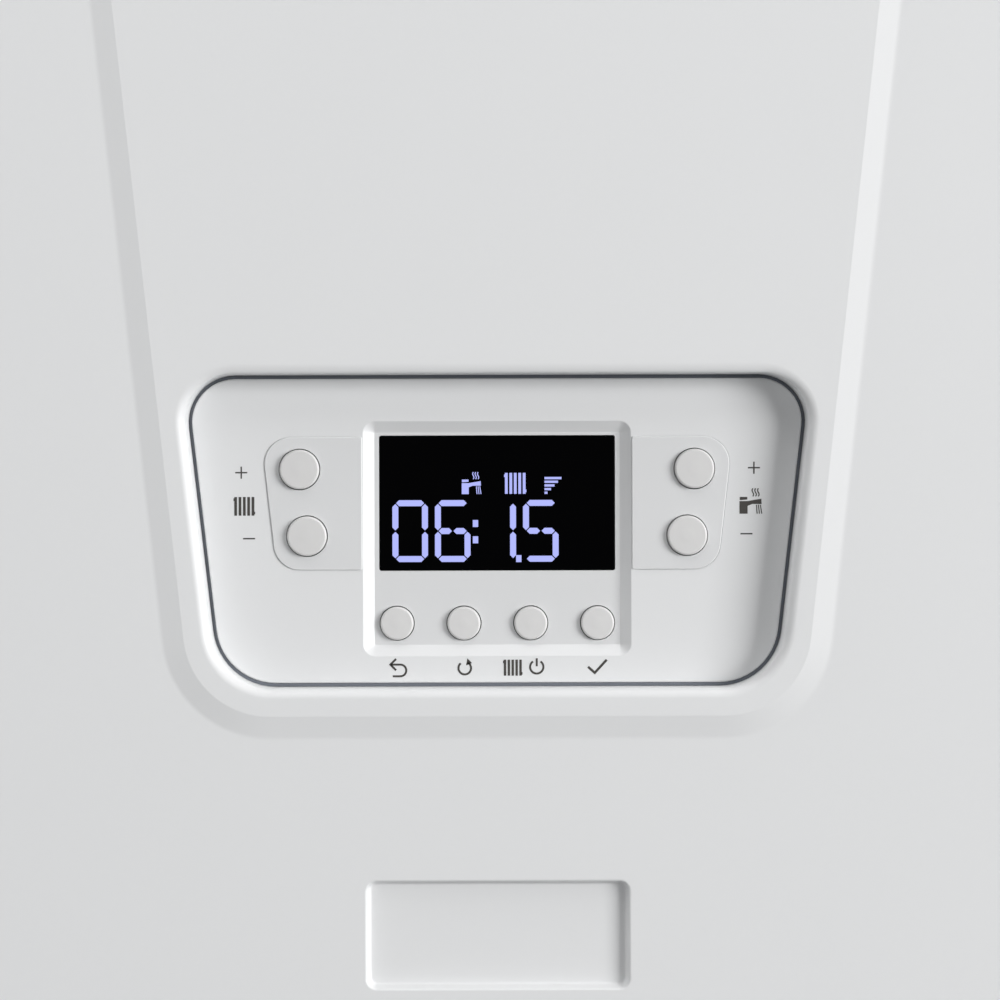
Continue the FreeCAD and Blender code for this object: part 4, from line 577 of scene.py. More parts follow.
def make_panel():
    mesh = bmesh.new()
    outline = [(point - normal * PANEL_GAP, normal) for point, normal in opening]
    rings = sweep(mesh, outline, rim(panel_high.y, FLOOR, PANEL_EDGE * 2, PANEL_EDGE, FINE_STEPS))

    recess = soften(trapezoid(RECESS_HALF, RECESS_HALF, CENTRE + RECESS_TOP, CENTRE + RECESS_BOTTOM),
                    [RECESS_CORNER] * 4)
    bottom = FLOOR + RECESS_SINK
    wall = ramp(FLOOR, bottom, RECESS_SLOPE, (RECESS_EDGE, RECESS_FOOT), FINE_STEPS)
    wall_rings = sweep(mesh, recess, wall)
    window = [(point + normal * GLASS_PLAY, normal) for point, normal in glass_outline]
    inside = [hole(mesh, window, bottom)]
    beside = []
    for name in BUTTONS:
        x, z, radius = button_place(name)
        if abs(x) < RECESS_HALF:
            inside.append(hole(mesh, circle(x, z, radius + BUTTON_GAP), bottom))
        else:
            beside.append((x, z, radius + BUTTON_GAP))
    fill(mesh, wall_rings[-1], *inside, slot=1)

    under = []
    for side in (-1, 1):
        inner, top, low = RECESS_HALF + PAD_GAP, CENTRE + PAD_TOP, CENTRE + PAD_BOTTOM
        corners = [(inner, low), (PAD_BOTTOM_HALF, low), (PAD_TOP_HALF, top), (inner, top)]
        radii = (PAD_SQUARE, PAD_CORNER, PAD_CORNER, PAD_SQUARE)
        if side < 0:
            corners = [(-x, z) for x, z in reversed(corners)]
            radii = radii[::-1]
        pad = soften(corners, radii)
        face = FLOOR - PAD_RISE
        pad_rings = sweep(mesh, pad, rim(FLOOR + GROOVE, face, PAD_INSET, PAD_EDGE, FINE_STEPS)[:-1])
        places = [hole(mesh, circle(x, z, radius), face) for x, z, radius in beside if x * side > 0]
        fill(mesh, pad_rings[-1], *places, slot=1)
        tucked = [(x + math.copysign(PAD_TUCK, x) if abs(x) == inner else x, z) for x, z in corners]
        groove = [add_ring(mesh, soften(tucked, radii), GROOVE, y) for y in (FLOOR, FLOOR + GROOVE)]
        join_rings(mesh, [*groove, pad_rings[0]])
        under.append(groove[0])
    fill(mesh, rings[-1], wall_rings[0], *under)
    return make_piece("moulded_panel", mesh, (FINISHES["panel_white"], FILM_AND_RECESS_SHADE), "control_box", "panel_white",
                      ["control_panel"])


moulded_panel = make_panel()
print("panel faces:", len(moulded_panel.data.polygons))

# %% Seal the gap
SEAL_SINK, SEAL_DEPTH, SEAL_PLAY, SEAL_LIFT = 1.4 * MM, 0.7 * MM, 0.08 * MM, 0.65


def make_seal():
    """A thin grey strip in the gap round the panel, behind its face but higher along the bottom.
    Its dark grey is painted shade for the gap.
    """
    def face(normal):
        return FLOOR + SEAL_SINK * (1 - SEAL_LIFT * max(0, -normal.y))

    def back(normal):
        return face(normal) + SEAL_DEPTH

    mesh = bmesh.new()
    inner, outer = SEAL_PLAY - PANEL_GAP, -SEAL_PLAY
    rings = sweep(mesh, opening, [(inner, back), (inner, face), (outer, face), (outer, back)])
    join_rings(mesh, [rings[-1], rings[0]])
    return make_piece("panel_seal", mesh, SEAL_WITH_GAP_SHADE, "control_box", "black_rubber")


panel_seal = make_seal()
print("seal faces:", len(panel_seal.data.polygons))

# %% [markdown]
# ## Buttons
# Eight round buttons stand through their holes with a thin dark gap round each. A button is a turned form:
# a straight skirt, a small round edge and a face with the least crown, so the light slides across it.

# %% Turn the buttons
BUTTON_EDGE, BUTTON_CROWN, CROWN_SHARES = 0.7 * MM, 0.12 * MM, (0.7, 0.9)


def make_button(name):
    low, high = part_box(name)
    x, z, radius = button_place(name)
    mesh = bmesh.new()
    face = low.y + BUTTON_CROWN
    profile = rim(high.y, face, radius / 2, BUTTON_EDGE)
    profile += [(-radius * share, face - BUTTON_CROWN * (1 - (1 - share) ** 2)) for share in CROWN_SHARES]
    rings = sweep(mesh, circle(x, z, radius), profile)
    for ring in (rings[0], rings[-1]):
        mesh.faces.new(ring)
    return make_piece(name.replace("button", "turned_button"), mesh, FINISHES["button_grey"], name,
                      "button_grey", [name])


turned_buttons = [make_button(name) for name in BUTTONS]
print("buttons:", len(turned_buttons))

# %% [markdown]
# ## Display
# Behind a black window a reading glows in pale blue segments, with small signs above it. The glass is a
# plate with eased edges. Each segment is a flat bar with pointed ends, and each sign is drawn from bars and
# strokes. They lie a hair in front of the glass and carry their own faint light.

# %% Draw with bars and strokes
LIFT, INK_DEPTH = 0.03 * MM, 0.02 * MM
RADIATOR_BARS, RADIATOR_BAR, STUB_REACH, STUB_DROP = 5, 0.135, 0.54, 0.36
TAP_WIDE, TAP_HIGH = 20, 22
TAP_SHAPES = (((0, 22), (7, 22), (7, 11), (0, 11)), ((0.2, 10.2), (6.8, 9.7), (6.8, 7.4), (0.2, 7.4)),
              ((7, 15.2), (11, 13.6), (19.2, 13.6), (19, 9), (7, 11)))
JET_LEFT, JET_STEP, JET_TOP, JET_LEAN, JET_WIDTH = 14.7, 1.7, 14.2, 0.6, 0.9
STEAM_LEFT, STEAM_STEP, STEAM_SWAY, STEAM_LOW, STEAM_BENDS = 11.6, 2.4, 0.7, 7, 6


class Drawing:
    """Flat shapes in millimetres from a centre, x to the right and z up, kept as polygons."""

    def __init__(self):
        self.shapes = []

    def polygon(self, *points):
        self.shapes.append([Vector(point) for point in points])

    def bar(self, left, bottom, right, top):
        self.polygon((left, bottom), (right, bottom), (right, top), (left, top))

    def stroke(self, points, width):
        """A line of even width with square ends and mitred bends."""
        points = [Vector(point) for point in points]
        left, right = [], []
        for index, here in enumerate(points):
            before = (here - points[index - 1]).normalized() if index else None
            after = (points[index + 1] - here).normalized() if index + 1 < len(points) else None
            before, after = before or after, after or before
            normals = [Vector((-way.y, way.x)) for way in (before, after)]
            mitre = (normals[0] + normals[1]) / (1 + normals[0].dot(normals[1])) * width / 2
            left.append(here + mitre)
            right.append(here - mitre)
        for index in range(len(points) - 1):
            self.polygon(right[index], right[index + 1], left[index + 1], left[index])

    def arc(self, x, z, radius, start, end, width, steps=18):
        angles = [math.radians(start + (end - start) * step / steps) for step in range(steps + 1)]
        self.stroke([(x + radius * math.cos(a), z + radius * math.sin(a)) for a in angles], width)

    def segment(self, first, last, width):
        """A bar with pointed ends between two points."""
        first, last = Vector(first), Vector(last)
        along = (last - first).normalized() * width / 2
        across = Vector((-along.y, along.x))
        self.polygon(first, first + along - across, last - along - across, last, last - along + across,
                     first + along + across)

    def radiator(self, x, z, width, height):
        """Five upright bars, with a stub high on the left and low on the right."""
        bar = width * RADIATOR_BAR
        for step in range(RADIATOR_BARS):
            left = x - width / 2 + (width - bar) * step / (RADIATOR_BARS - 1)
            self.bar(left, z - height / 2, left + bar, z + height / 2)
        for side in (-1, 1):
            left, right = sorted((x + side * width / 2, x + side * width * STUB_REACH))
            stub = z - side * height * STUB_DROP
            self.bar(left, stub - bar / 2, right, stub + bar / 2)

    def tap(self, x, z, size):
        """A tap with three jets of water and three curls of steam, drawn in units of its height."""
        unit = size / TAP_HIGH

        def at(right, down):
            return x + (right - TAP_WIDE / 2) * unit, z + (TAP_HIGH / 2 - down) * unit

        for points in TAP_SHAPES:
            self.polygon(*[at(*point) for point in points])
        for step in range(3):
            jet, curl = JET_LEFT + step * JET_STEP, STEAM_LEFT + step * STEAM_STEP
            self.stroke([at(jet, JET_TOP), at(jet + JET_LEAN * (1 + step / 2), TAP_HIGH)], unit * JET_WIDTH)
            wave = [at(curl + STEAM_SWAY * math.sin(bend * math.pi / 3), STEAM_LOW * (1 - bend / STEAM_BENDS))
                    for bend in range(STEAM_BENDS + 1)]
            self.stroke(wave, unit)

    def make(self, name, material, body, slot, depth_at):
        """A thin raised mesh of the shapes, each point at the depth that depth_at gives."""
        mesh = bmesh.new()
        for shape in self.shapes:
            face = [mesh.verts.new((p.x * MM, depth_at(p.x * MM, CENTRE + p.y * MM), CENTRE + p.y * MM))
                    for p in shape]
            mesh.faces.new(face)
        for face in mesh.faces:
            face.normal_update()
        bmesh.ops.reverse_faces(mesh, faces=[face for face in mesh.faces if face.normal.y > 0])
        shell = bmesh.ops.extrude_face_region(mesh, geom=mesh.faces[:])
        for vert in shell["geom"]:
            if isinstance(vert, bmesh.types.BMVert):
                vert.co.y -= INK_DEPTH
        data = bpy.data.meshes.new(name)
        bmesh.ops.recalc_face_normals(mesh, faces=mesh.faces)
        mesh.to_mesh(data)
        mesh.free()
        data.materials.append(material)
        return carry(add_object(name, data), body, slot)


print("drawing:", Drawing.__doc__)

# %% Glass and reading
DIGIT_WIDTH, DIGIT_HEIGHT, STROKE, SPLIT = 10.7, 18.6, 1.8, 0.22
LIT = {"0": "abcdef", "1": "bc", "5": "acdfg", "6": "acdefg"}
READING, READING_TOP = (("0", -31.5), ("6", -18.7), ("1", -5.0), ("5", 7.8)), 9.0
DOTS, DOT_WIDE, DOT_HIGH = ((-7.3, 0.9), (-7.3, -4.0), (5.7, -9.7)), 1.6, 2.1
LIT_TAP, LIT_RADIATOR = (-7.6, 14.1, 6.6), (5.5, 14.0, 6.2, 6.3)
GAUGE_BARS, GAUGE_LEFT, GAUGE_RIGHT, GAUGE_LOW = 5, 14.3, 19.4, 15.2
GAUGE_STEP, GAUGE_TAPER, GAUGE_THICK = 1.1, 1.05, 0.7
GLASS_EDGE = 0.2 * MM


def digit(drawing, sign, left, top):
    """One digit of seven bars, whose middle bar is split in two."""
    half = STROKE / 2
    x0, x1 = left + half, left + DIGIT_WIDTH - half
    z0, z1, z2 = top - half, top - DIGIT_HEIGHT / 2, top - DIGIT_HEIGHT + half
    middle = (x0 + x1) / 2
    bars = {"a": [((x0 + SPLIT, z0), (x1 - SPLIT, z0))], "d": [((x0 + SPLIT, z2), (x1 - SPLIT, z2))],
            "b": [((x1, z0 - SPLIT), (x1, z1 + SPLIT))], "c": [((x1, z1 - SPLIT), (x1, z2 + SPLIT))],
            "f": [((x0, z0 - SPLIT), (x0, z1 + SPLIT))], "e": [((x0, z1 - SPLIT), (x0, z2 + SPLIT))],
            "g": [((x0 + SPLIT, z1), (middle - SPLIT, z1)), ((middle + SPLIT, z1), (x1 - SPLIT, z1))]}
    for letter in LIT[sign]:
        for first, last in bars[letter]:
            drawing.segment(first, last, STROKE)


def make_display():
    mesh = bmesh.new()
    rings = sweep(mesh, glass_outline, rim(glass_high.y, glass_low.y, GLASS_EDGE * 2, GLASS_EDGE, EASE_STEPS))
    for ring in (rings[0], rings[-1]):
        mesh.faces.new(ring)
    glass = make_piece("display_window", mesh, FINISHES["display_black"], "control_box", "display_black",
                       ["display_glass"])
    reading = Drawing()
    for sign, left in READING:
        digit(reading, sign, left, READING_TOP)
    for left, bottom in DOTS:
        reading.bar(left, bottom, left + DOT_WIDE, bottom + DOT_HIGH)
    reading.tap(*LIT_TAP)
    reading.radiator(*LIT_RADIATOR)
    for step in range(GAUGE_BARS):
        bottom = GAUGE_LOW - step * GAUGE_STEP
        reading.bar(GAUGE_LEFT, bottom, GAUGE_RIGHT - step * GAUGE_TAPER, bottom + GAUGE_THICK)
    reading.make("lit_reading", SEGMENTS, "control_box", "display_black", lambda x, z: glass_low.y - LIFT)
    return glass


display_window = make_display()
print("display", [round((glass_high[axis] - glass_low[axis]) / MM, 1) for axis in (0, 2)], "mm,",
      len(display_window.data.polygons), "faces")

# %% [markdown]
# ## Printed signs
# Beside and below the buttons the panel carries plain printed signs in dark ink: plus and minus, a radiator,
# a tap, a return arrow, a turn-back arrow, a power sign and a tick. Each point is dropped onto the panel's
# own mesh before it gets its hair of thickness.

# %% Print the signs
SIGN_STROKE, BOLD_STROKE, TICK_STROKE, SIGN_REACH, RAY_START = 0.42, 0.6, 0.72, 1.8, 0.1
PLUS_PLACES, MINUS_PLACES = ((-76.7, 17.4), (77.1, 18.5)), ((-74.4, -2.4), (74.8, -1.3))
RADIATOR_SIGNS, TAP_SIGN, LOW_ROW = ((-75.8, 7.3, 6.0, 5.6), (4.6, -41.3, 5.4, 4.8)), (76.2, 8.5, 7.6), -41.4


def make_signs():
    tree = BVHTree.FromObject(moulded_panel, bpy.context.evaluated_depsgraph_get())

    def panel_surface(x, z):
        return tree.ray_cast(Vector((x, FRONT - RAY_START, z)), Vector((0, 1, 0)))[0].y - LIFT

    ink, half, low = Drawing(), SIGN_STROKE / 2, LOW_ROW
    for x, z in PLUS_PLACES:
        ink.bar(x - SIGN_REACH, z - half, x + SIGN_REACH, z + half)
        ink.bar(x - half, z + half, x + half, z + SIGN_REACH)
        ink.bar(x - half, z - SIGN_REACH, x + half, z - half)
    for x, z in MINUS_PLACES:
        ink.bar(x - SIGN_REACH, z - half, x + SIGN_REACH, z + half)
    for place in RADIATOR_SIGNS:
        ink.radiator(*place)
    ink.tap(*TAP_SIGN)
    # The return arrow
    ink.stroke([(-32.0, low + 1.1), (-29.1, low + 1.1)], BOLD_STROKE)
    ink.arc(-29.1, low - 0.65, 1.75, 90, -90, BOLD_STROKE)
    ink.stroke([(-29.1, low - 2.4), (-31.4, low - 2.4)], BOLD_STROKE)
    ink.stroke([(-30.4, low + 2.8), (-32.1, low + 1.1), (-30.4, low - 0.6)], BOLD_STROKE)
    # The turn-back arrow
    ink.arc(-9.8, low, 1.9, 60, -230, BOLD_STROKE)
    ink.polygon((-9.4, low + 0.8), (-7.6, low + 1.5), (-9.0, low + 2.9))
    # The power sign and the tick
    ink.arc(11.8, low + 0.3, 2.0, 55, -235, BOLD_STROKE)
    ink.stroke([(11.8, low + 2.9), (11.8, low + 0.5)], BOLD_STROKE)
    ink.stroke([(27.2, low + 0.3), (29.2, low - 1.5), (32.8, low + 2.4)], TICK_STROKE)
    return ink.make("printed_signs", INK, "control_box", "panel_white", panel_surface)


printed_signs = make_signs()
print("signs:", len(printed_signs.data.polygons), "faces")

# %% [markdown]
# ## Small forms that repeat
# Screw heads, pipe threads, hose ridges, cooling fins and the plates of the water heater each repeat one
# small form by a rule. They could be modelled once and copied by hand, but Geometry Nodes hold the rule
# itself: the tree makes the form and sets it out, and named inputs carry the sizes. A seed mesh gives the
# points or the path, and the result is kept as a plain mesh on the body that carries it.

# %% Trees and copies
def new_tree(name, inputs):
    """A tree of geometry nodes with named inputs for its sizes and its finish, and the inputs' sockets."""
    tree = bpy.data.node_groups.new(name, "GeometryNodeTree")
    tree.interface.new_socket("Geometry", in_out="INPUT", socket_type="NodeSocketGeometry")
    for key, value in inputs:
        kind = "NodeSocketInt" if isinstance(value, int) else FLOAT
        tree.interface.new_socket(key, in_out="INPUT", socket_type=kind).default_value = value
    tree.interface.new_socket("Finish", in_out="INPUT", socket_type="NodeSocketMaterial")
    tree.interface.new_socket("Geometry", in_out="OUTPUT", socket_type="NodeSocketGeometry")
    return tree, add_node(tree, "NodeGroupInput").outputs


def end_tree(tree, given, copies):
    """Makes the copies real, sets their finish and hands them out."""
    real = add_node(tree, "GeometryNodeRealizeInstances", [("Geometry", copies)])
    done = add_node(tree, "GeometryNodeSetMaterial", [("Geometry", real), ("Material", given["Finish"])])
    add_node(tree, "NodeGroupOutput", [("Geometry", done)])
    return tree


def aimed_copies(tree, given, form, size=(1, 1, 1)):
    """Copies of a form on the seed's points, each with its own axis along the point's aim."""
    aim = add_node(tree, "GeometryNodeInputNamedAttribute", [("Name", "aim")], data_type="FLOAT_VECTOR")
    turn = add_node(tree, "FunctionNodeAlignRotationToVector", [("Vector", aim)], axis="Z")
    return add_node(tree, "GeometryNodeInstanceOnPoints", [
        ("Points", given["Geometry"]), ("Instance", form), ("Rotation", turn), ("Scale", size)])


print("aimed_copies:", aimed_copies.__doc__)

# %% Growing a piece
GROWN_CREASE = 35


def grow(tree, name, points, values, slot, body, aims=None, girths=None, path=False, replaced=()):
    """Runs a tree on points, or on a path through them, and keeps a plain mesh that rides on a body."""
    edges = [(index, index + 1) for index in range(len(points) - 1)] if path else []
    seed = bpy.data.meshes.new(name + "_seed")
    seed.from_pydata([tuple(point) for point in points], edges, [])
    if aims:
        seed.attributes.new("aim", "FLOAT_VECTOR", "POINT").data.foreach_set(
            "vector", [part for aim in aims for part in aim])
    if girths:
        seed.attributes.new("girth", "FLOAT", "POINT").data.foreach_set("value", girths)
    piece = add_object(name, seed)
    rule = piece.modifiers.new("rule", "NODES")
    rule.node_group = tree
    for item in tree.interface.items_tree:
        if item.in_out == "INPUT" and item.name in values:
            rule[item.identifier] = values[item.name]
        elif item.in_out == "INPUT" and item.name == "Finish":
            rule[item.identifier] = FINISHES[slot]
    data = bpy.data.meshes.new_from_object(piece.evaluated_get(bpy.context.evaluated_depsgraph_get()))
    piece.modifiers.clear()
    piece.data = data
    data.name = name
    data.shade_smooth()
    data.set_sharp_from_angle(angle=math.radians(GROWN_CREASE))
    bpy.data.meshes.remove(seed)
    carry(piece, body, slot, replaced)
    print(name, len(data.polygons), "faces")


print("grow:", grow.__doc__)

# %% [markdown]
# ## Screw heads
# Sheet-metal screws close the control box, the fan housing and the bottom plate. A head is a low dome with a
# cross cut into it. The tree cuts one head from a sphere and sets it on every point, turned along that
# point's own direction.

# %% One screw head
DOME_SEGMENTS, DOME_RINGS = 28, 14
CROSS_LONG, CROSS_WIDE, CROSS_DEEP, CROSS_RISE = 4.4 * MM, 1.1 * MM, 2.4 * MM, 1.8 * MM
UNDER_WIDE, UNDER_DEEP = 30 * MM, 10 * MM


def vector(tree, *parts):
    return add_node(tree, "ShaderNodeCombineXYZ", enumerate(parts))


def make_screw_tree():
    tree, given = new_tree("screw_heads", [("Radius", 0.004), ("Height", 0.0016)])
    ball = add_node(tree, "GeometryNodeMeshUVSphere", [("Segments", DOME_SEGMENTS), ("Rings", DOME_RINGS),
                                                       ("Radius", 1.0)])
    girth = vector(tree, given["Radius"], given["Radius"], given["Height"])
    dome = add_node(tree, "GeometryNodeTransform", [("Geometry", ball), ("Scale", girth)])
    cuts = []
    for size, rise in (((UNDER_WIDE, UNDER_WIDE, UNDER_DEEP), -UNDER_DEEP / 2),
                       ((CROSS_LONG, CROSS_WIDE, CROSS_DEEP), CROSS_RISE),
                       ((CROSS_WIDE, CROSS_LONG, CROSS_DEEP), CROSS_RISE)):
        cube = add_node(tree, "GeometryNodeMeshCube", [("Size", size)])
        cut = add_node(tree, "GeometryNodeTransform", [("Geometry", cube), ("Translation", (0, 0, rise))])
        cuts.append(("Mesh 2", cut))
    head = add_node(tree, "GeometryNodeMeshBoolean", [("Mesh 1", dome), *cuts], operation="DIFFERENCE")
    return end_tree(tree, given, aimed_copies(tree, given, head))


SCREWS = make_screw_tree()
print("screw head:", len(SCREWS.nodes), "nodes")

# %% Set out the screws
DOWN, UP, BACK, RIGHT = (0, 0, -1), (0, 0, 1), (0, 1, 0), (1, 0, 0)
HEAD_RADIUS, HEAD_HEIGHT, BOLT_RADIUS, BOLT_HEIGHT, BOLT_HALF = 3.6 * MM, 1.5 * MM, 3.9 * MM, 1.2 * MM, 4 * MM
COVER_INSET, PLATE_INSET, PLATE_ROWS = 8 * MM, 9 * MM, (-25 * MM, -90 * MM, -160 * MM)
REAR_ROW, REAR_PLACES = -28 * MM, (-60 * MM, 60 * MM)
FAN_DEPTH, FAN_HEIGHT, FAN_CIRCLE, FAN_SCREWS, FIRST_FAN_SCREW = -190 * MM, -320 * MM, 51 * MM, 6, 30
COLLAR_SCREWS = 4


def screw_row(name, points, aim, body, radius=HEAD_RADIUS, height=HEAD_HEIGHT):
    grow(SCREWS, name, points, {"Radius": radius, "Height": height}, "zinc_screw", body, [aim] * len(points))


cover_low, cover_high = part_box("control_box_cover")
plate_low, plate_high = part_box("bottom_plate")
fan_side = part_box("fan_housing")[1].x
screws_low, screws_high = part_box("case_screws")
collar_low, collar_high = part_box("collar_screws")
screw_row("cover_screw_heads",
          [(x, cover_high.y, z) for x in (cover_low.x + COVER_INSET, 0, cover_high.x - COVER_INSET)
           for z in (cover_low.z + COVER_INSET, cover_high.z - COVER_INSET)], BACK, "control_box")
screw_row("plate_screw_heads",
          [(x, y, plate_low.z) for x in (plate_low.x + PLATE_INSET, plate_high.x - PLATE_INSET)
           for y in PLATE_ROWS] + [(x, REAR_ROW, plate_low.z) for x in REAR_PLACES], DOWN, "chassis")
screw_row("fan_screw_heads",
          [(fan_side, FAN_DEPTH + FAN_CIRCLE * back, FAN_HEIGHT + FAN_CIRCLE * up)
           for back, up in round_ways(FAN_SCREWS, FIRST_FAN_SCREW)], RIGHT, "chassis")
case_screw_y = (screws_low.y + screws_high.y) / 2
screw_row("case_screw_heads",
          [(x, case_screw_y, screws_low.z) for x in (screws_low.x + BOLT_HALF, screws_high.x - BOLT_HALF)],
          DOWN, "outer_case", BOLT_RADIUS, BOLT_HEIGHT)
collar_middle = (collar_low + collar_high) / 2
collar_circle = (collar_high.x - collar_low.x) / 2 - BOLT_HALF
screw_row("collar_screw_heads",
          [(collar_middle.x + collar_circle * right, collar_middle.y + collar_circle * back, collar_high.z)
           for right, back in round_ways(COLLAR_SCREWS)], UP, "chassis", BOLT_RADIUS, BOLT_HEIGHT)

# %% [markdown]
# ## Pipe threads
# The five brass tails below the boiler end in pipe threads. A thread is a helix, so the tree winds a spiral
# and sweeps a three-sided ridge along it. The tails come in two widths, and a number on each point says how
# wide its thread is.

# %% Pipe threads
SPIRAL_STEPS, RIDGE_SIDES = 36, 3


def round_line(tree, steps, radius):
    return add_node(tree, "GeometryNodeCurvePrimitiveCircle", [("Resolution", steps), ("Radius", radius)])


def make_thread_tree():
    tree, given = new_tree("pipe_threads", [("Radius", 0.0132), ("Pitch", 0.0018), ("Turns", 11.0),
                                            ("Ridge", 0.0009)])
    radius, turns = given["Radius"], given["Turns"]
    spiral = add_node(tree, "GeometryNodeCurveSpiral", [
        ("Resolution", SPIRAL_STEPS), ("Rotations", turns), ("Start Radius", radius), ("End Radius", radius),
        ("Height", product(tree, given["Pitch"], turns))])
    ridge = round_line(tree, RIDGE_SIDES, given["Ridge"])
    thread = add_node(tree, "GeometryNodeCurveToMesh", [("Curve", spiral), ("Profile Curve", ridge),
                                                        ("Fill Caps", True)])
    girth = add_node(tree, "GeometryNodeInputNamedAttribute", [("Name", "girth")], data_type="FLOAT")
    return end_tree(tree, given, aimed_copies(tree, given, thread, vector(tree, girth, girth, 1.0)))


TAILS, TAIL_PITCH, TAIL_DEPTH, WIDE_TAIL, SLIM_TAIL = range(-2, 3), 65 * MM, 100 * MM, 13.2 * MM, 10.5 * MM
THREAD_START, THREAD_SINK = 2 * MM, 0.25 * MM
thread_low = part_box("connection_tails")[0].z + THREAD_START
grow(make_thread_tree(), "tail_threads", [(TAIL_PITCH * step, -TAIL_DEPTH, thread_low) for step in TAILS],
     {"Radius": WIDE_TAIL - THREAD_SINK, "Turns": 10.0, "Ridge": 0.75 * MM}, "brass", "chassis",
     [UP] * len(TAILS), [1.0 if step % 2 == 0 else SLIM_TAIL / WIDE_TAIL for step in TAILS])

# %% [markdown]
# ## Ridges along a path
# The condensate hose is ribbed so that it bends, and the drum of the heat exchanger carries rolled beads that
# stiffen it. Both are rings set out along a path: the tree walks the path in equal steps and sets a ring
# square to it at each.

# %% Hose ribs and drum beads
RING_STEPS, BEAD_SIDES = 48, 8


def copies_along(tree, line, form, key, value):
    """Copies of a form in equal steps along a line, square to it. The key is Count or Length."""
    steps = add_node(tree, "GeometryNodeCurveToPoints", [("Curve", line), (key, value)], mode=key.upper())
    return add_node(tree, "GeometryNodeInstanceOnPoints", [
        ("Points", steps), ("Instance", form), ("Rotation", steps.outputs["Rotation"])])


def make_ridge_tree():
    tree, given = new_tree("ridges_on_a_path", [("Ring Radius", 0.009), ("Ridge", 0.001), ("Spacing", 0.005)])
    path = add_node(tree, "GeometryNodeMeshToCurve", [("Mesh", given["Geometry"])])
    ring = add_node(tree, "GeometryNodeCurveToMesh", [
        ("Curve", round_line(tree, RING_STEPS, given["Ring Radius"])),
        ("Profile Curve", round_line(tree, BEAD_SIDES, given["Ridge"]))])
    return end_tree(tree, given, copies_along(tree, path, ring, "Length", given["Spacing"]))


def bent_path(corners, bend, steps=10):
    """A path through corners, each rounded to one bend."""
    path = [Vector(corners[0])]
    for before, here, after in zip(corners, corners[1:], corners[2:]):
        here = Vector(here)
        back, onward = (Vector(before) - here).normalized(), (Vector(after) - here).normalized()
        half = back.angle(onward) / 2
        centre = here + (back + onward).normalized() * bend / math.sin(half)
        first = (here + back * bend / math.tan(half) - centre).normalized()
        last = (here + onward * bend / math.tan(half) - centre).normalized()
        path += [centre + first.slerp(last, step / steps) * bend for step in range(steps + 1)]
    return path + [Vector(corners[-1])]


RIDGES = make_ridge_tree()
hose_low, hose_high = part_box("condensate_pipe")
trap_low, trap_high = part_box("condensate_trap")
trap_x, trap_y = (trap_low.x + trap_high.x) / 2, (trap_low.y + trap_high.y) / 2
HOSE_LEVEL, HOSE_DEPTH, HOSE_BEND, HOSE_RADIUS, HOSE_END = -370 * MM, 92 * MM, 26 * MM, 9 * MM, 4 * MM
hose_path = bent_path([(0, -HOSE_DEPTH, hose_high.z - HOSE_END), (0, -HOSE_DEPTH, HOSE_LEVEL),
                       (trap_x, trap_y, HOSE_LEVEL), (trap_x, trap_y, hose_low.z + HOSE_END)], HOSE_BEND)
grow(RIDGES, "hose_ribs", hose_path, {"Ring Radius": HOSE_RADIUS, "Ridge": 1.1 * MM, "Spacing": 4.4 * MM},
     "trap_grey", "chassis", path=True)
DRUM_HEIGHT, DRUM_RADIUS, DRUM_BACK, DRUM_FRONT = -135 * MM, 110 * MM, -92 * MM, -188 * MM
grow(RIDGES, "drum_beads", [(0, DRUM_BACK, DRUM_HEIGHT), (0, DRUM_FRONT, DRUM_HEIGHT)],
     {"Ring Radius": DRUM_RADIUS, "Ridge": 1.6 * MM, "Spacing": 16 * MM}, "stainless", "chassis", path=True)

# %% [markdown]
# ## Cooling fins
# The motors of the pump and the fan carry fins that give off their heat. The tree walks a circle in equal
# steps and stands a thin slab on it at each, and the whole crown is turned along the motor's axis.

# %% Motor fins
CROWN_STEPS = 90


def make_fin_tree():
    tree, given = new_tree("motor_fins", [("Radius", 0.043), ("Height", 0.004), ("Length", 0.034),
                                          ("Thickness", 0.0016), ("Count", 28)])
    size = vector(tree, product(tree, given["Height"], 2.0), given["Length"], given["Thickness"])
    slab = add_node(tree, "GeometryNodeMeshCube", [("Size", size)])
    crown = copies_along(tree, round_line(tree, CROWN_STEPS, given["Radius"]), slab, "Count", given["Count"])
    return end_tree(tree, given, aimed_copies(tree, given, crown))


FINS = make_fin_tree()
PUMP_MOTOR, FAN_FIN_SHIFT, FAN_FIN_SINK = (125 * MM, -164.5 * MM, -485 * MM), 2 * MM, 1 * MM
grow(FINS, "pump_motor_fins", [PUMP_MOTOR],
     {"Radius": 43 * MM, "Height": 3.6 * MM, "Length": 37 * MM, "Count": 30}, "pump_black", "chassis", [BACK])
fan_motor_low, fan_motor_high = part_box("fan_motor")
motor_middle = (fan_motor_low + fan_motor_high) / 2
fan_motor_radius = (fan_motor_high.y - fan_motor_low.y) / 2
grow(FINS, "fan_motor_fins", [(motor_middle.x - FAN_FIN_SHIFT, motor_middle.y, motor_middle.z)],
     {"Radius": fan_motor_radius - FAN_FIN_SINK, "Height": 3 * MM, "Length": 40 * MM, "Count": 26},
     "black_plastic", "chassis", [RIGHT])

# %% [markdown]
# ## The plate heat exchanger
# The tap-water heater is a pack of thin pressed plates brazed together, and its edge shows every plate. The
# tree draws one plate with round corners, gives it a thickness and repeats it through the pack. A smaller
# solid core fills the pack between the plates.

# %% Stack the plates
PLATE_CORNER_STEPS, PLATE_WELD = 8, 1e-6


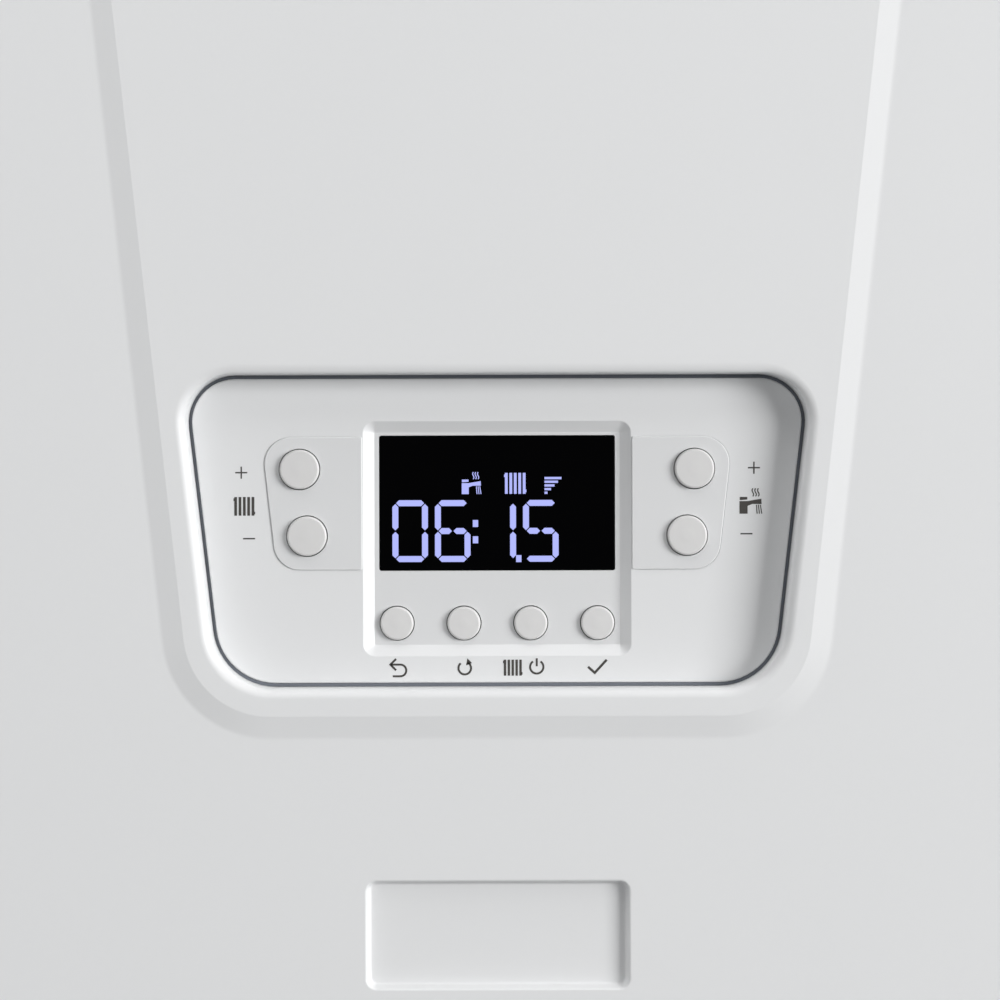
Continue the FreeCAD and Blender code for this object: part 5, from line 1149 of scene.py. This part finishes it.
def make_plate_tree():
    tree, given = new_tree("brazed_plates", [("Width", 0.17), ("Height", 0.076), ("Corner", 0.018),
                                             ("Thickness", 0.0012)])
    line = add_node(tree, "GeometryNodeCurvePrimitiveQuadrilateral", [("Width", given["Width"]),
                                                                      ("Height", given["Height"])])
    corners = add_node(tree, "GeometryNodeFilletCurve", [
        ("Curve", line), ("Count", PLATE_CORNER_STEPS), ("Radius", given["Corner"])], mode="POLY")
    face = add_node(tree, "GeometryNodeFillCurve", [("Curve", corners)], mode="NGONS")
    slab = add_node(tree, "GeometryNodeExtrudeMesh", [
        ("Mesh", face), ("Offset Scale", given["Thickness"]), ("Individual", False)], mode="FACES")
    back = add_node(tree, "GeometryNodeFlipFaces", [("Mesh", face)])
    plate = add_node(tree, "GeometryNodeJoinGeometry", [(0, back), (0, slab)])
    whole = add_node(tree, "GeometryNodeMergeByDistance", [("Geometry", plate), ("Distance", PLATE_WELD)])
    return end_tree(tree, given, aimed_copies(tree, given, whole))


PLATES = make_plate_tree()
stack_low, stack_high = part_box("plate_exchanger")
stack_x, stack_z = (stack_low.x + stack_high.x) / 2, (stack_low.z + stack_high.z) / 2
PLATE_COUNT, PLATE, PLATE_CORNER, CORE_CORNER, CORE_INSET = 20, 1.2 * MM, 18 * MM, 17 * MM, 2.4 * MM
plate_step = (stack_high.y - stack_low.y - PLATE) / (PLATE_COUNT - 1)
stack_size = {"Width": stack_high.x - stack_low.x, "Height": stack_high.z - stack_low.z}
grow(PLATES, "brazed_plates",
     [(stack_x, stack_low.y + plate_step * step, stack_z) for step in range(PLATE_COUNT)],
     {**stack_size, "Corner": PLATE_CORNER, "Thickness": PLATE}, "copper_brazed", "chassis",
     [BACK] * PLATE_COUNT, replaced=["plate_exchanger"])
grow(PLATES, "plate_core", [(stack_x, stack_low.y + PLATE / 2, stack_z)],
     {"Width": stack_size["Width"] - CORE_INSET, "Height": stack_size["Height"] - CORE_INSET,
      "Corner": CORE_CORNER, "Thickness": stack_high.y - stack_low.y - PLATE}, "copper", "chassis", [BACK])

# %% [markdown]
# ## Stage, light and camera
# A pale floor lies under the boiler. The light is a plain soft studio: lamps on the right, little higher than
# the panel, draw the bright right slope and throw the lip's shadow across the panel, weaker ones stand on
# the left, one hangs above, and two serve the left side and the back. Each lamp is given by its direction
# from the panel. The sky and floor give little light, but eyes, metal and glass see them pale. The floor
# takes light and shadow near the boiler only and fades into the sky farther out, so no lamp leaves a pool on
# it. The camera looks straight on, level with the panel, as the photograph does.

# %% Floor and sky
FLOOR_HALF, FLOOR_NEAR, FLOOR_FAR = 8.0, 0.9, 1.8
FLOOR_FILL, FLOOR_GLOW, SKY_FILL, BACKDROP = 0.12, 0.53, 0.08, (0.96, 0.98, 1.0, 1)


def seen_level(tree, unseen, seen):
    """One level for the light that falls on the boiler, another for what eyes, metal and glass see."""
    path = add_node(tree, "ShaderNodeLightPath")
    shown = path.outputs["Is Camera Ray"]
    for ray in ("Is Glossy Ray", "Is Transmission Ray"):
        shown = add_node(tree, "ShaderNodeMath", [(0, shown), (1, path.outputs[ray])], operation="MAXIMUM")
    return scaled(tree, shown, unseen, seen)


def make_floor():
    low, size = cad_box[0][2], FLOOR_HALF
    data = bpy.data.meshes.new("studio_floor")
    data.from_pydata([(-size, -size, low), (size, -size, low), (size, size, low), (-size, size, low)], [],
                     [(0, 1, 2, 3)])
    pale = finish("pale floor", (0.16, 0.16, 0.158), 0.8, tint=0.02, grain=60, bump=0.02, gloss=0.0)
    tree = pale.node_tree
    shader = tree.nodes["Principled BSDF"]
    place = add_node(tree, "ShaderNodeTexCoord").outputs["Object"]
    reach = add_node(tree, "ShaderNodeVectorMath", [(0, place)], operation="LENGTH")
    far = add_node(tree, "ShaderNodeMapRange", [("Value", reach.outputs["Value"]), ("From Min", FLOOR_NEAR),
                                                ("From Max", FLOOR_FAR)], interpolation_type="SMOOTHSTEP")
    near_colour = shader.inputs["Base Color"].links[0].from_socket
    tree.links.new(blend_colour(tree, far.outputs[0], near_colour, (0, 0, 0)), shader.inputs["Base Color"])
    shader.inputs["Emission Color"].default_value = BACKDROP
    tree.links.new(seen_level(tree, FLOOR_FILL, FLOOR_GLOW), shader.inputs["Emission Strength"])
    data.materials.append(pale)
    floor = add_object("studio_floor", data)


def make_sky(strength, seen):
    world = bpy.data.worlds.new("studio sky")
    bpy.context.scene.world = world
    world.use_nodes = True
    tree = world.node_tree
    sky = tree.nodes["Background"]
    sky.inputs["Color"].default_value = BACKDROP
    tree.links.new(seen_level(tree, strength, seen), sky.inputs["Strength"])


make_floor()
make_sky(SKY_FILL, FLOOR_GLOW)
print("floor", FLOOR_HALF * 2, "m wide, sky", bpy.context.scene.world.name)

# %% Lamps
AIM_RIGHT, AIM_UP = 0.9 * MM, 9 * MM
aim = Vector((AIM_RIGHT, FLOOR, CENTRE + AIM_UP))
# For each lamp: degrees to the right and up, distance and size in metres, power in watts
LAMPS = {
    "near_key_lamp": (56.5, 6.5, 4.6, 2.2, 255),
    "side_key_lamp": (70, 12, 4.6, 1.8, 10),
    "left_lamp": (-35, 10, 2.0, 1.2, 3.2),
    "far_left_lamp": (-65, 8, 2.0, 1.0, 4.0),
    "left_side_lamp": (-97, 35, 2.8, 1.8, 36),
    "top_lamp": (0, 70, 1.7, 1.2, 10),
    "rear_lamp": (175, 25, 2.6, 2.4, 21),
}


def add_lamp(name, azimuth, elevation, distance, size, power):
    """A square soft lamp that looks at the panel from so many degrees to the right and up."""
    data = bpy.data.lights.new(name, "AREA")
    data.shape = "SQUARE"
    data.size = size
    data.energy = power
    made = add_object(name, data)
    turn, rise = math.radians(azimuth), math.radians(elevation)
    toward = Vector((math.sin(turn) * math.cos(rise), -math.cos(turn) * math.cos(rise), math.sin(rise)))
    made.location = aim + toward * distance
    made.rotation_euler = toward.to_track_quat("Z", "Y").to_euler()


for name, place_and_power in LAMPS.items():
    add_lamp(name, *place_and_power)
print("lamps:", len(LAMPS))

# %% Camera
VIEW_WIDTH, VIEW_DISTANCE, SENSOR, ROLL = 0.300, 0.75, 36.0, 0.15
lens = bpy.data.cameras.new("photo_camera")
lens.sensor_width = SENSOR
lens.lens = SENSOR * VIEW_DISTANCE / VIEW_WIDTH
camera = add_object("photo_camera", lens)
camera.matrix_world = (Matrix.Translation(aim - Vector((0, VIEW_DISTANCE, 0)))
                       @ Matrix.Rotation(math.pi / 2, 4, "X") @ Matrix.Rotation(math.radians(-ROLL), 4, "Z"))
bpy.context.scene.camera = camera
bpy.context.scene.view_settings.view_transform = "Standard"
print("camera", round(lens.lens, 1), "mm at", [round(part, 3) for part in camera.location])

# %% Bring the scene up to date
bpy.context.view_layer.update()
